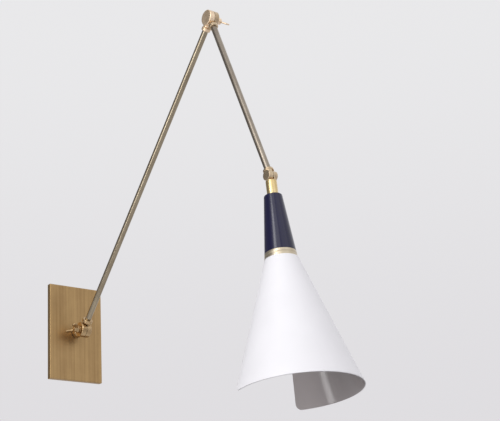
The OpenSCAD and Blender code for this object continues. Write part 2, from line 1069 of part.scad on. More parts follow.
module cup_washer() {
    color(lead_black)
        along_shade()
            translate([0, 0, cup_washer_face])
                washer(sleeve_radius - 0.3, pipe_radius + run_gap, cup_washer_thickness - seat_gap);
}

// Radius of the cup's outside at a distance below its top
function cup_at(drop) = cup_top_radius + cup_slope * drop;

module shade_cup() {
    color(navy)
        along_shade()
            translate([0, 0, cup_distance])
                rotate_extrude()
                    polygon([[pipe_radius + seat_gap, 0], [cup_top_radius - cup_edge, 0],
                        [cup_top_radius - 0.35 * cup_edge, 0.25 * cup_edge], [cup_at(cup_edge), cup_edge],
                        [cup_at(cup_height), cup_height],
                        [cup_at(cup_height) - cup_wall, cup_height],
                        [cup_at(cup_top_wall) - cup_wall, cup_top_wall],
                        [pipe_radius + seat_gap, cup_top_wall]]);
}

module cup_nut() {
    color(zinc_steel)
        along_shade()
            translate([0, 0, cup_distance + cup_top_wall + seat_gap])
                hex_nut(cup_nut_flats, pipe_radius + thread_gap, cup_nut_thickness);
}

module shade_ring() {
    top = cup_mouth + seat_gap;
    lip_outer = cup_at(cup_height - ring_lip) - cup_wall - 0.1;
    groove_at = cup_mouth + ring_height * ring_groove_line;
    mid_radius = ring_top_radius + (ring_bottom_radius - ring_top_radius) * ring_groove_line;
    color(polished_brass)
        along_shade()
            rotate_extrude()
                polygon([[lip_outer, top - ring_lip], [lip_outer, top], [ring_top_radius, top],
                    [mid_radius, groove_at], [mid_radius - ring_groove, groove_at + 0.1],
                    [mid_radius - ring_groove, groove_at + ring_groove_width - 0.1],
                    [mid_radius + 0.1, groove_at + ring_groove_width],
                    [ring_bottom_radius, ring_end], [holder_radius + 0.1, ring_end],
                    [holder_radius + 0.1, holder_seat], [ring_top_radius - ring_wall - 1, holder_seat],
                    [lip_outer - ring_lip_wall, top], [lip_outer - ring_lip_wall, top - ring_lip]]);
}

// Removes the sharp corner between an open edge and the rim
module corner_cut() {
    translate([-far_away / 2, 0, 0])
        rotate([90, 0, 90])
            linear_extrude(height = far_away)
                difference() {
                    translate([-2 * over, -corner_radius])
                        square([corner_radius + 2 * over, corner_radius + 3 * over]);
                    translate([corner_radius, -corner_radius])
                        circle(r = corner_radius + corner_blend);
                }
}

// Children at one end of the sheet's rim, +Z along the sheet's slope
module at_rim_corner(turn) {
    rotate([0, 0, turn])
        translate([rim_radius, 0, shade_end])
            rotate([0, shade_half_angle, 0])
                children();
}

module shade() {
    color(white)
        along_shade() {
            difference() {
                rotate([0, 0, open_start + open_angle])
                    rotate_extrude(angle = sheet_angle)
                        polygon([[shade_top_radius - slant_sheet, sheet_top],
                            [shade_top_radius, sheet_top], [rim_radius, shade_end],
                            [rim_radius - slant_sheet, shade_end]]);
                at_rim_corner(open_start + open_angle)
                    corner_cut();
                at_rim_corner(open_start)
                    mirror([0, 1, 0])
                        corner_cut();
            }
            translate([0, 0, sheet_top])
                washer(shade_top_radius - slant_sheet / 2, holder_radius + 0.1,
                    flange_thickness - 2 * seat_gap);
        }
}

module lampholder_cap() {
    color(ceramic_white)
        along_shade()
            rotate_extrude()
                polygon([[pipe_radius + thread_gap, cap_top], [pipe_radius + 3, cap_top],
                    [cap_radius, cap_top + cap_boss + 1], [cap_radius, holder_top - seat_gap],
                    [cap_radius - cap_wall, holder_top - seat_gap],
                    [cap_radius - cap_wall, cap_top + cap_boss + 2],
                    [pipe_radius + 2, cap_top + cap_boss], [pipe_radius + thread_gap, cap_top + cap_boss]]);
}

module lampholder_body() {
    spigot = cap_radius - cap_wall - thread_gap;
    color(ceramic_white)
        along_shade()
            rotate_extrude()
                polygon([[core_radius + seat_gap, holder_top - holder_spigot],
                    [spigot, holder_top - holder_spigot], [spigot, holder_top],
                    [holder_radius, holder_top], [holder_radius, holder_seat - holder_shoulder],
                    [holder_shoulder_radius, holder_seat - holder_shoulder],
                    [holder_shoulder_radius, holder_seat - seat_gap],
                    [holder_radius, holder_seat - seat_gap], [holder_radius, holder_mouth],
                    [holder_bore, holder_mouth], [holder_bore, core_flange - seat_gap],
                    [core_radius + seat_gap, core_flange - seat_gap]]);
}

module lampholder_core() {
    color(ceramic_white)
        along_shade()
            difference() {
                union() {
                    translate([0, 0, core_top])
                        cylinder(r = core_radius, h = core_flange - core_top);
                    translate([0, 0, core_flange])
                        cylinder(r = holder_bore - seat_gap, h = core_flange_end - core_flange);
                }
                translate([0, 0, core_flange - 2 * over])
                    cylinder(r = contact_radius + seat_gap, h = far_away);
                for (side = [-1, 1])
                    translate([side * terminal_offset, 0, core_top - over])
                        cylinder(r = terminal_radius + thread_gap, h = terminal_length + over + seat_gap);
            }
}

module screw_shell() {
    color(contact_brass)
        along_shade()
            rotate_extrude()
                polygon([[shell_floor_hole, core_flange_end + seat_gap],
                    [shell_radius, core_flange_end + seat_gap], [shell_radius, shell_end],
                    [shell_radius - shell_wall, shell_end],
                    [shell_radius - shell_wall, core_flange_end + shell_wall],
                    [shell_floor_hole, core_flange_end + shell_wall]]);
}

module centre_contact() {
    color(contact_brass)
        along_shade()
            translate([0, 0, core_flange - 2 * over + seat_gap])
                cylinder(r = contact_radius, h = bulb_top - core_flange + 2 * over - 2 * seat_gap);
}

module terminal_screws() {
    color(contact_brass)
        along_shade()
            for (side = [-1, 1])
                translate([side * terminal_offset, 0, core_top - seat_gap])
                    difference() {
                        union() {
                            translate([0, 0, -terminal_head_height])
                                cylinder(r = terminal_head, h = terminal_head_height);
                            translate([0, 0, -over])
                                cylinder(r = terminal_radius, h = terminal_length + over);
                        }
                        translate([-far_away, -terminal_slot / 2, -terminal_head_height - over])
                            cube([2 * far_away, terminal_slot, over + 0.8]);
                    }
}

module holder_ring() {
    color(ceramic_white)
        along_shade()
            translate([0, 0, flange_end])
                washer(holder_ring_radius, holder_radius + thread_gap, holder_ring_height - 0.3);
}

module bulb_glass() {
    neck_top = bulb_cap_end - bulb_neck_sink;
    color(opal)
        along_shade()
            difference() {
                union() {
                    translate([0, 0, bulb_centre])
                        sphere(r = bulb_radius);
                    translate([0, 0, neck_top])
                        cylinder(r = bulb_neck_radius, h = bulb_centre - neck_top);
                    translate([0, 0, bulb_cap_end + seat_gap])
                        cylinder(r1 = bulb_cap_radius, r2 = bulb_radius * 0.8,
                            h = bulb_centre - bulb_radius * 0.6 - bulb_cap_end);
                }
                translate([0, 0, bulb_centre])
                    sphere(r = bulb_radius - bulb_wall);
                translate([0, 0, neck_top - over])
                    cylinder(r = bulb_neck_bore, h = bulb_centre - neck_top);
            }
}

module bulb_cap() {
    cone_top = bulb_top + bulb_contact_height;
    cone_end = cone_top + bulb_cap_cone;
    color(zinc_steel)
        along_shade()
            rotate_extrude()
                polygon([[0, cone_top + seat_gap], [bulb_contact_radius, cone_top + seat_gap],
                    [bulb_cap_radius - 1.4, cone_end], [bulb_cap_radius, cone_end + 0.6],
                    [bulb_cap_radius, bulb_cap_end], [bulb_cap_radius - bulb_cap_wall, bulb_cap_end],
                    [bulb_cap_radius - bulb_cap_wall, cone_end + 1], [0, cone_end + 1]]);
}

module bulb_contact() {
    color(zinc_steel)
        along_shade()
            translate([0, 0, bulb_top])
                cylinder(r1 = bulb_contact_radius - 0.6, r2 = bulb_contact_radius, h = bulb_contact_height);
}

module holder_lead() {
    split = pipe_end + 0.8;
    wire_end = core_top - terminal_head_height - core_wire_radius;
    spread = terminal_offset - 1;
    wire_length = sqrt(pow(spread, 2) + pow(wire_end - split, 2));
    color(lead_black)
        along_shade() {
            translate([0, 0, sleeve_shoulder + face_gap])
                cylinder(r = lead_radius, h = split - sleeve_shoulder);
            for (side = [-1, 1])
                translate([0, 0, split]) {
                    rotate([0, side * atan2(spread, wire_end - split), 0])
                        cylinder(r = core_wire_radius, h = wire_length);
                    translate([side * spread, 0, wire_end - split])
                        sphere(r = core_wire_radius - seat_gap);
                }
        }
}

back_plate();
mounting_strap();
plate_screws();
earth_screw();
stem_bush();
stop_pin();
stem_knuckle();
stem_washer();
stop_washer();
stem_spring_washer();
stem_nut();
stem_lead();
lower_arm_foot();
lower_arm_tube();
lower_arm_head();
lower_friction_ring();
lower_pivot_stud();
lower_flat_washer();
lower_spring_washer();
lower_wing_nut();
upper_friction_ring();
upper_pivot_stud();
upper_flat_washer();
upper_spring_washer();
upper_wing_nut();
lower_arm_lead();
upper_arm_head();
upper_arm_tube();
upper_arm_foot();
upper_arm_lead();
shade_friction_ring();
shade_pivot_screw();
shade_spring_washer();
shade_knuckle();
sleeve();
pipe_washer();
shade_joint_lead();
lamp_pipe();
cup_washer();
shade_cup();
cup_nut();
shade_ring();
shade();
lampholder_cap();
lampholder_body();
lampholder_core();
screw_shell();
centre_contact();
terminal_screws();
holder_ring();
bulb_glass();
bulb_cap();
bulb_contact();
holder_lead();
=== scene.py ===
"""Dresses an articulated wall lamp: its turned and folded pieces worked out as surfaces, its
brass, enamel and glass finishes, and a plain pale studio seen from the photograph's angle."""
import json
import math

import bmesh
import bpy
import numpy as np
from bpy.props import FloatProperty, FloatVectorProperty, IntProperty, PointerProperty
from mathutils import Matrix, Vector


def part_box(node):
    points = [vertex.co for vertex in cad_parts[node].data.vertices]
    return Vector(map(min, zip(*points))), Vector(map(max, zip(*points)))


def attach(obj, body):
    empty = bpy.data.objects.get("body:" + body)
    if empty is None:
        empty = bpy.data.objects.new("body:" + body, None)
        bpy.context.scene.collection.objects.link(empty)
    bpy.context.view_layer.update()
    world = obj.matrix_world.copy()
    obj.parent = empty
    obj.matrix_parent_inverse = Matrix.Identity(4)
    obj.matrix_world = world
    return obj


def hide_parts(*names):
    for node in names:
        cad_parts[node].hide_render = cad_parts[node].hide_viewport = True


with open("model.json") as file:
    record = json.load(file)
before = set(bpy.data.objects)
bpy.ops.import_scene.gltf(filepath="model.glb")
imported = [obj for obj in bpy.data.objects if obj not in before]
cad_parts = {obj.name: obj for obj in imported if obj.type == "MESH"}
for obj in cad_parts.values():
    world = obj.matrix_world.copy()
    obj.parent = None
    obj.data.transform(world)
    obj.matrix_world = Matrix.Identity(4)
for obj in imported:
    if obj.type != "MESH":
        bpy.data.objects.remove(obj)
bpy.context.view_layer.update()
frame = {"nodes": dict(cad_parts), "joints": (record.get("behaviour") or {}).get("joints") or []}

bl_info = {
    "name": "Articulated wall lamp",
    "version": (1, 0, 0),
    "blender": (4, 5, 0),
    "location": "3D View > Sidebar > Wall lamp",
    "description": "Makes the pieces, the finishes and the studio of a two-armed wall lamp",
    "category": "Add Mesh",
}

MM = 0.001

# Where the joints are, and the directions of the stem, the arms and the shade
JOINTS = {joint["name"]: joint for joint in frame["joints"]}
LOWER_PIVOT = np.array(JOINTS["lower_hinge"]["pos_m"])
UPPER_PIVOT = np.array(JOINTS["upper_hinge"]["pos_m"])
SHADE_PIVOT = np.array(JOINTS["shade_tilt"]["pos_m"])
SHADE_AXIS = np.array(JOINTS["shade_turn"]["axis"])
PLATE_LOW, PLATE_HIGH = (np.array(corner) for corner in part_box("back_plate"))


# Settings


def tone(name, about, colour):
    """A colour setting."""
    return FloatVectorProperty(name=name, description=about, subtype="COLOR", size=3, min=0,
                               max=1, default=colour)


def share(name, about, value):
    """A setting from 0 to 1."""
    return FloatProperty(name=name, description=about, subtype="FACTOR", min=0, max=1,
                         default=value)


def length(name, about, low, high, value):
    """A length in millimetres."""
    return FloatProperty(name=name, description=about + ", in mm", min=low, max=high,
                         default=value)


# Frames


def unit(vector):
    """The vector divided by its length."""
    vector = np.asarray(vector, float)
    return vector / np.linalg.norm(vector)


def frame_along(origin, along, side=(1.0, 0.0, 0.0)):
    """Origin and three axes: z runs along a direction, x is the given side made square to it,
    and y is z cross x."""
    z_axis = unit(along)
    x_axis = unit(np.asarray(side, float) - np.dot(side, z_axis) * z_axis)
    return np.asarray(origin, float), np.array([x_axis, np.cross(z_axis, x_axis), z_axis])


STEM = frame_along(LOWER_PIVOT, (0, 1, 0))
LOWER_ARM = frame_along(LOWER_PIVOT, UPPER_PIVOT - LOWER_PIVOT)
UPPER_ARM = frame_along(UPPER_PIVOT, SHADE_PIVOT - UPPER_PIVOT)
SHADE = frame_along(SHADE_PIVOT, SHADE_AXIS)


def placed(points, where):
    """Local points in millimetres to the lamp's frame: origin + x X + y Y + z Z."""
    origin, axes = where
    return origin + np.asarray(points) * MM @ axes


# Surfaces


def eased(profile, ease, steps=5):
    """Closed profile whose corners P become the curve (1-s)^2 A + 2s(1-s) P + s^2 B, where A and B
    lie the given length before and after P, at most 0.45 of the side they are on."""
    profile = np.asarray(profile, float)
    ease = np.broadcast_to(np.asarray(ease, float), len(profile))[:, None]
    before, after = np.roll(profile, 1, 0) - profile, np.roll(profile, -1, 0) - profile
    reach_before = np.maximum(np.linalg.norm(before, axis=1, keepdims=True), 1e-9)
    reach_after = np.maximum(np.linalg.norm(after, axis=1, keepdims=True), 1e-9)
    start = profile + before / reach_before * np.minimum(ease, 0.45 * reach_before)
    end = profile + after / reach_after * np.minimum(ease, 0.45 * reach_after)
    s = np.linspace(0, 1, steps)[None, :, None]
    start, middle, end = start[:, None], profile[:, None], end[:, None]
    return ((1 - s) ** 2 * start + 2 * s * (1 - s) * middle + s ** 2 * end).reshape(-1, 2)


def turned(profile, where, around=96):
    """Grid of a profile (r, z) turned round z: (r cos t, r sin t, z) for t from 0 to 2 pi."""
    profile = np.asarray(profile, float)
    t = np.linspace(0, 2 * np.pi, around, endpoint=False)[:, None]
    r, z = profile[None, :, 0], profile[None, :, 1]
    points = np.stack([r * np.cos(t), r * np.sin(t), np.broadcast_to(z, (around, z.shape[1]))], -1)
    return placed(points, where)


def threaded(radius, depth, pitch, start, end, where, around=72, rows=10):
    """Grid of a screw thread: r = radius - depth |2 frac(z / pitch - t / 2 pi) - 1| faded to
    radius - depth at both ends, for z from start to end, with flat closed ends."""
    count = max(int((end - start) / pitch * rows), 8)
    t = np.linspace(0, 2 * np.pi, around, endpoint=False)[:, None]
    z = np.linspace(start, end, count)[None, :]
    wave = np.abs(2 * np.mod(z / pitch - t / (2 * np.pi), 1.0) - 1)
    fade = np.clip(np.minimum(z - start, end - z) / (0.8 * pitch), 0, 1)
    r = radius - depth + depth * (1 - wave) * fade
    z = np.broadcast_to(z, r.shape)
    centre = np.zeros((around, 1))
    r = np.hstack([centre, r, centre])
    z = np.hstack([centre + start, z, centre + end])
    return placed(np.stack([r * np.cos(t), r * np.sin(t), z], -1), where)


def quads(rows, columns, wrap_rows, wrap_columns):
    """Corner numbers of the faces of a grid, as one array."""
    i = np.arange(rows if wrap_rows else rows - 1)[:, None]
    j = np.arange(columns if wrap_columns else columns - 1)[None, :]
    next_i, next_j = (i + 1) % rows, (j + 1) % columns
    corners = [row * columns + column
               for row, column in ((i, j), (next_i, j), (next_i, next_j), (i, next_j))]
    return np.stack([np.broadcast_to(c, (i.size, j.size)) for c in corners], -1).reshape(-1, 4)


def mesh_from(name, grids):
    """One mesh of several grids (points, wrap_rows, wrap_columns), doubles merged and faces
    turned outwards."""
    corners, faces, count = [], [], 0
    for points, wrap_rows, wrap_columns in grids:
        rows, columns = points.shape[:2]
        faces.append(quads(rows, columns, wrap_rows, wrap_columns) + count)
        corners.append(points.reshape(-1, 3))
        count += rows * columns
    mesh = bpy.data.meshes.new(name)
    mesh.from_pydata(np.concatenate(corners).tolist(), [], np.concatenate(faces).tolist())
    work = bmesh.new()
    work.from_mesh(mesh)
    bmesh.ops.remove_doubles(work, verts=work.verts, dist=2e-7)
    bmesh.ops.dissolve_degenerate(work, edges=work.edges, dist=1e-8)
    bmesh.ops.recalc_face_normals(work, faces=work.faces)
    work.to_mesh(mesh)
    work.free()
    return mesh


def shade_smooth(mesh, crease=35):
    """Smooth shading, broken where faces meet at more than the crease angle in degrees."""
    mesh.polygons.foreach_set("use_smooth", np.ones(len(mesh.polygons), bool))
    mesh.set_sharp_from_angle(angle=math.radians(crease))
    mesh.update()


def piece(name, mesh, body, nodes, finish):
    """Puts a finished piece in the scene, in its material, riding on its body in place of its
    nodes."""
    shade_smooth(mesh)
    made = bpy.data.objects.new(name, mesh)
    bpy.context.scene.collection.objects.link(made)
    if not mesh.materials:
        mesh.materials.append(bpy.data.materials[finish])
    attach(made, body)
    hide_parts(*nodes)


def applied(mesh, *modifiers):
    """The mesh after modifiers, each a (kind, settings) pair, are applied to it."""
    holder = bpy.data.objects.new("holder", mesh)
    bpy.context.scene.collection.objects.link(holder)
    for kind, settings in modifiers:
        modifier = holder.modifiers.new(kind.title(), kind)
        for key, value in settings.items():
            setattr(modifier, key, value)
    bpy.context.view_layer.update()
    finished = bpy.data.meshes.new_from_object(
        holder.evaluated_get(bpy.context.evaluated_depsgraph_get()))
    bpy.data.objects.remove(holder)
    return finished


def bored(mesh, cutter_mesh):
    """The mesh with the cutter's closed shape taken out of it."""
    cutter = bpy.data.objects.new("cutter", cutter_mesh)
    bpy.context.scene.collection.objects.link(cutter)
    finished = applied(mesh, ("BOOLEAN", {"operation": "DIFFERENCE", "solver": "EXACT",
                                          "object": cutter}))
    bpy.data.objects.remove(cutter)
    return finished


# Finishes


def rgba(colour, share_of=1.0):
    """A colour, times a share, with full alpha."""
    return (*np.asarray(colour) * share_of, 1.0)


class Nodes:
    """A node tree under construction, with short calls for its nodes."""

    def __init__(self, tree):
        self.tree = tree

    def give(self, socket, value):
        """Links a socket or sets its value."""
        if isinstance(value, bpy.types.NodeSocket):
            self.tree.links.new(value, socket)
        else:
            socket.default_value = value

    def node(self, kind, settings=None, **inputs):
        """A node with settings and inputs; an input that is a socket is linked."""
        made = self.tree.nodes.new(kind)
        for key, value in (settings or {}).items():
            setattr(made, key, value)
        for key, value in inputs.items():
            self.give(made.inputs[key.replace("_", " ")], value)
        return made

    def numbered(self, kind, settings, values, result):
        """A node whose inputs are given by number, and the result of that number."""
        made = self.node(kind, settings)
        for number, value in values.items():
            self.give(made.inputs[number], value)
        return made.outputs[result]

    def math(self, operation, first, second):
        """Result of a Math node."""
        return self.numbered("ShaderNodeMath", {"operation": operation}, {0: first, 1: second}, 0)

    def mix(self, factor, first, second):
        """Mix of two colours."""
        return self.numbered("ShaderNodeMix", {"data_type": "RGBA"},
                             {0: factor, 6: first, 7: second}, 2)


class Finish(Nodes):
    """A material under construction."""

    def __init__(self, name, **sockets):
        self.material = bpy.data.materials.new(name)
        self.material.use_nodes = True
        super().__init__(self.material.node_tree)
        self.shader = next(n for n in self.tree.nodes if n.type == "BSDF_PRINCIPLED")
        self.here = self.node("ShaderNodeTexCoord").outputs["Object"]
        self.wear(**sockets)

    def mapped(self, origin, axes, stretch):
        """Object coordinates along a frame's own axes, times a stretch in each, in 1/m."""
        turn = Matrix(axes.T.tolist()).to_euler("XYZ")
        return self.node("ShaderNodeMapping", {"vector_type": "TEXTURE"}, Vector=self.here,
                         Location=tuple(origin), Rotation=tuple(turn),
                         Scale=tuple(1 / np.asarray(stretch, float))).outputs[0]

    def noise(self, vector, scale, detail=2.0, roughness=0.5):
        """Value of a noise texture, from 0 to 1."""
        return self.node("ShaderNodeTexNoise", Vector=vector, Scale=scale, Detail=detail,
                         Roughness=roughness).outputs[0]

    def between(self, value, low, high, to_low, to_high):
        """The value mapped from one range to another, and kept inside it."""
        return self.node("ShaderNodeMapRange", {"clamp": True}, Value=value, From_Min=low,
                         From_Max=high, To_Min=to_low, To_Max=to_high).outputs[0]

    def cloudy(self, scale, colour, second, detail=3.0):
        """Two tones in soft clouds of a given scale, in 1/m."""
        cloud = self.between(self.noise(self.here, scale, detail), 0.3, 0.7, 0.0, 1.0)
        return self.mix(cloud, colour, second)

    def relief(self, height, distance, strength, edge):
        """Normal bent by a height, over edges that turn smoothly within a radius in mm."""
        soft = self.node("ShaderNodeBevel", {"samples": 6}, Radius=edge * MM).outputs[0]
        return self.node("ShaderNodeBump", Height=height, Distance=distance, Strength=strength,
                         Normal=soft).outputs[0]

    def wear(self, **sockets):
        """Links or sets the shader's sockets."""
        for socket, value in sockets.items():
            self.give(self.shader.inputs[socket.replace("_", " ")], value)


def brushed_brass(name, look, tones, where, stretch, bands, rough, depth):
    """Antique brass brushed one way: wide bands and long fine streaks along one axis of a frame
    in colour, roughness and relief, over a slow patina."""
    finish = Finish(name, Metallic=1.0)
    light, dark = np.array(tones)
    streaks = finish.noise(finish.mapped(*where, stretch), 1.0, 3.0, 0.6)
    fine = finish.noise(finish.mapped(*where, np.asarray(stretch) * 2.7), 1.0, 2.0, 0.6)
    broad = finish.noise(finish.mapped(*where, bands), 1.0, 3.0, 0.6)
    patina = finish.noise(finish.here, 26.0, 3.0, 0.55)
    colour = finish.mix(finish.between(patina, 0.35, 0.7, 0.0, 1.0), rgba(light), rgba(dark))
    for height, low, high, strength, layer in (
            (broad, 0.5, 0.68, look.bands, rgba(dark, (0.80, 0.77, 0.73))),
            (broad, 0.5, 0.34, look.bands, rgba(light, (1.10, 1.12, 1.10))),
            (streaks, 0.3, 0.7, look.streaks, rgba(light, 1.4)),
            (fine, 0.55, 0.75, 0.5 * look.streaks, rgba(dark, 0.6))):
        colour = finish.mix(finish.between(height, low, high, 0.0, strength), colour, layer)
    roughness = finish.math("ADD", finish.between(streaks, 0.2, 0.8, -0.08, 0.08),
                            finish.between(patina, 0.3, 0.7, rough - 0.03, rough + 0.04))
    height = finish.math("ADD", streaks, finish.math("MULTIPLY", fine, 0.5))
    finish.wear(Base_Color=colour, Roughness=roughness,
                Normal=finish.relief(height, depth * MM, 0.5, 0.35))


def bright_brass(name, colour, rough):
    """Polished brass with a few fine wipes and a faint warm change of colour."""
    finish = Finish(name, Metallic=1.0)
    cloud = finish.noise(finish.here, 45.0, 3.0)
    wipes = finish.noise(finish.mapped(*SHADE, (2600, 2600, 160)), 1.0, 2.0)
    roughness = finish.math("ADD", finish.between(wipes, 0.3, 0.75, 0.0, 0.07),
                            finish.between(cloud, 0.3, 0.7, rough, rough + 0.05))
    finish.wear(Base_Color=finish.cloudy(45.0, rgba(colour), rgba(colour, (0.92, 0.87, 0.78))),
                Roughness=roughness, Normal=finish.relief(wipes, 0.01 * MM, 0.3, 0.2))


def plain_metal(name, colour, rough):
    """Plated or drawn metal with a fine grain."""
    finish = Finish(name, Metallic=1.0)
    grain = finish.noise(finish.here, 900.0)
    finish.wear(Base_Color=finish.cloudy(60.0, rgba(colour), rgba(colour, 0.72)),
                Roughness=finish.between(grain, 0.3, 0.7, rough - 0.06, rough + 0.1),
                Normal=finish.relief(grain, 0.02 * MM, 0.3, 0.15))


def enamel(name, colour, shift, rough, peel):
    """Sprayed enamel: a slight change of tone, a fine orange peel and a few dust specks."""
    finish = Finish(name, Metallic=0.0, IOR=1.5)
    ripple = finish.noise(finish.here, 420.0)
    dust = finish.noise(finish.here, 2200.0, 1.0)
    height = finish.math("ADD", ripple, finish.between(dust, 0.72, 0.8, 0.0, 0.6))
    finish.wear(Base_Color=finish.cloudy(18.0, rgba(colour), rgba(colour, shift), 2.0),
                Roughness=finish.between(ripple, 0.3, 0.7, rough - 0.03, rough + 0.05),
                Normal=finish.relief(height, peel * MM, 0.5, 0.25))


def moulded(name, colour, rough, grain=700.0, depth=0.02):
    """Moulded or pressed material with a fine grain and a slight mottle."""
    finish = Finish(name, Metallic=0.0)
    fine = finish.noise(finish.here, grain, 3.0)
    finish.wear(Base_Color=finish.cloudy(90.0, rgba(colour), rgba(colour, 0.82)),
                Roughness=finish.between(fine, 0.3, 0.7, rough - 0.05, rough + 0.08),
                Normal=finish.relief(fine, depth * MM, 0.4, 0.2))


class LampFinishes(bpy.types.PropertyGroup):
    """Colours and surface of the lamp's finishes."""

    plate: tone("Plate", "Lighter tone of the wall plate's brass", (0.43, 0.284, 0.132))
    plate_dark: tone("Plate patina", "Darker tone of the wall plate's brass",
                     (0.36, 0.232, 0.108))
    tube: tone("Lower arm", "Lighter tone of the lower arm's tube", (0.37, 0.312, 0.225))
    tube_dark: tone("Lower arm patina", "Darker tone of the lower arm's tube",
                    (0.29, 0.242, 0.17))
    # The upper arm's tube is the lower arm's brass painted a little darker, as painted shade, and
    # greyer.
    upper: tone("Upper arm", "Lighter tone of the upper arm's tube", (0.33, 0.285, 0.235))
    upper_dark: tone("Upper arm patina", "Darker tone of the upper arm's tube",
                     (0.27, 0.235, 0.19))
    knuckle: tone("Knuckles", "Lighter tone of the upper arm's and the shade's knuckles",
                  (0.62, 0.49, 0.335))
    knuckle_dark: tone("Knuckle patina", "Darker tone of the upper arm's and the shade's "
                       "knuckles", (0.45, 0.335, 0.21))
    # The lower knuckle is the knuckles' brass painted darker and more golden: the darkening is
    # painted shade.
    stem: tone("Lower knuckle", "Lighter tone of the lower knuckle", (0.51, 0.36, 0.195))
    stem_dark: tone("Lower knuckle patina", "Darker tone of the lower knuckle",
                    (0.37, 0.246, 0.122))
    # The lower arm's head at the top knuckle, with its stud, washers and wing nut, is the
    # knuckles' brass painted much lighter: a painted highlight on the top eye.
    head: tone("Top eye", "Lighter tone of the lower arm's head", (0.92, 0.74, 0.55))
    head_dark: tone("Top eye patina", "Darker tone of the lower arm's head",
                    (0.75, 0.58, 0.40))
    bright_brass: tone("Polished brass", "Colour of the sleeve", (0.73, 0.585, 0.31))
    ring_brass: tone("Ring", "Colour of the ring below the cup", (0.60, 0.535, 0.42))
    cup: tone("Cup", "Colour of the cup's enamel", (0.005, 0.0045, 0.034))
    shade: tone("Shade", "Colour of the shade's enamel", (0.86, 0.85, 0.88))
    # The lining is the shade's white enamel painted a darker grey: painted shade inside the cone.
    shaded_lining: tone("Lining", "Colour of the enamel inside the shade", (0.50, 0.455, 0.455))
    plate_roughness: share("Plate roughness", "Roughness of the wall plate", 0.38)
    tube_roughness: share("Arm roughness", "Roughness of the lower arm's tube", 0.22)
    knuckle_roughness: share("Knuckle roughness", "Roughness of the knuckles", 0.3)
    streaks: share("Streaks", "Strength of the brushing", 0.3)
    bands: share("Bands", "Strength of the wide bands of patina", 0.7)


# The finish that each node of the part wears
WORN = {
    "plate_brass": ("back_plate", "plate_screws"),
    "zinc_plating": ("mounting_strap", "stop_pin", "stop_washer", "stem_spring_washer",
                     "shade_spring_washer", "pipe_washer", "cup_nut"),
    "contact_brass": ("earth_screw", "lamp_pipe", "screw_shell", "centre_contact",
                      "terminal_screws", "bulb_cap"),
    # painted shade: the lower knuckle's pieces wear a darker copy of the knuckle brass
    "stem_brass": ("stem_bush", "stem_knuckle", "stem_nut", "lower_pivot_stud",
                   "lower_flat_washer", "lower_spring_washer", "lower_wing_nut",
                   "lower_arm_foot"),
    # painted highlight: the top eye's pieces wear a lighter copy of the knuckle brass
    "head_brass": ("lower_arm_head", "upper_pivot_stud", "upper_flat_washer",
                   "upper_spring_washer", "upper_wing_nut"),
    "lower_brass": ("lower_arm_tube",),
    "upper_knuckle": ("upper_arm_head", "upper_arm_foot", "shade_pivot_screw"),
    "upper_brass": ("upper_arm_tube",),
    "turned_brass": ("shade_knuckle",),
    "sleeve_brass": ("sleeve",),
    "ring_brass": ("shade_ring",),
    "cup_enamel": ("shade_cup",),
    "shade_enamel": ("shade",),
    "fibre": ("stem_washer", "lower_friction_ring", "upper_friction_ring",
              "shade_friction_ring", "cup_washer"),
    "lead_rubber": ("stem_lead", "lower_arm_lead", "upper_arm_lead", "shade_joint_lead",
                    "holder_lead"),
    "insulator": ("lampholder_cap", "lampholder_body", "holder_ring", "bulb_contact"),
    "steatite": ("lampholder_core",),
    "opal_glass": ("bulb_glass",),
}

# Scales of the brushing along and across each frame's axes, and of the wide bands, in 1/m
PLATE_STREAKS, TUBE_STREAKS, KNUCKLE_STREAKS = (1300, 1300, 11), (900, 900, 14), (160, 1100, 1100)
PLATE_BANDS, TUBE_BANDS, KNUCKLE_BANDS = (150, 150, 3), (70, 70, 25), (70, 70, 70)


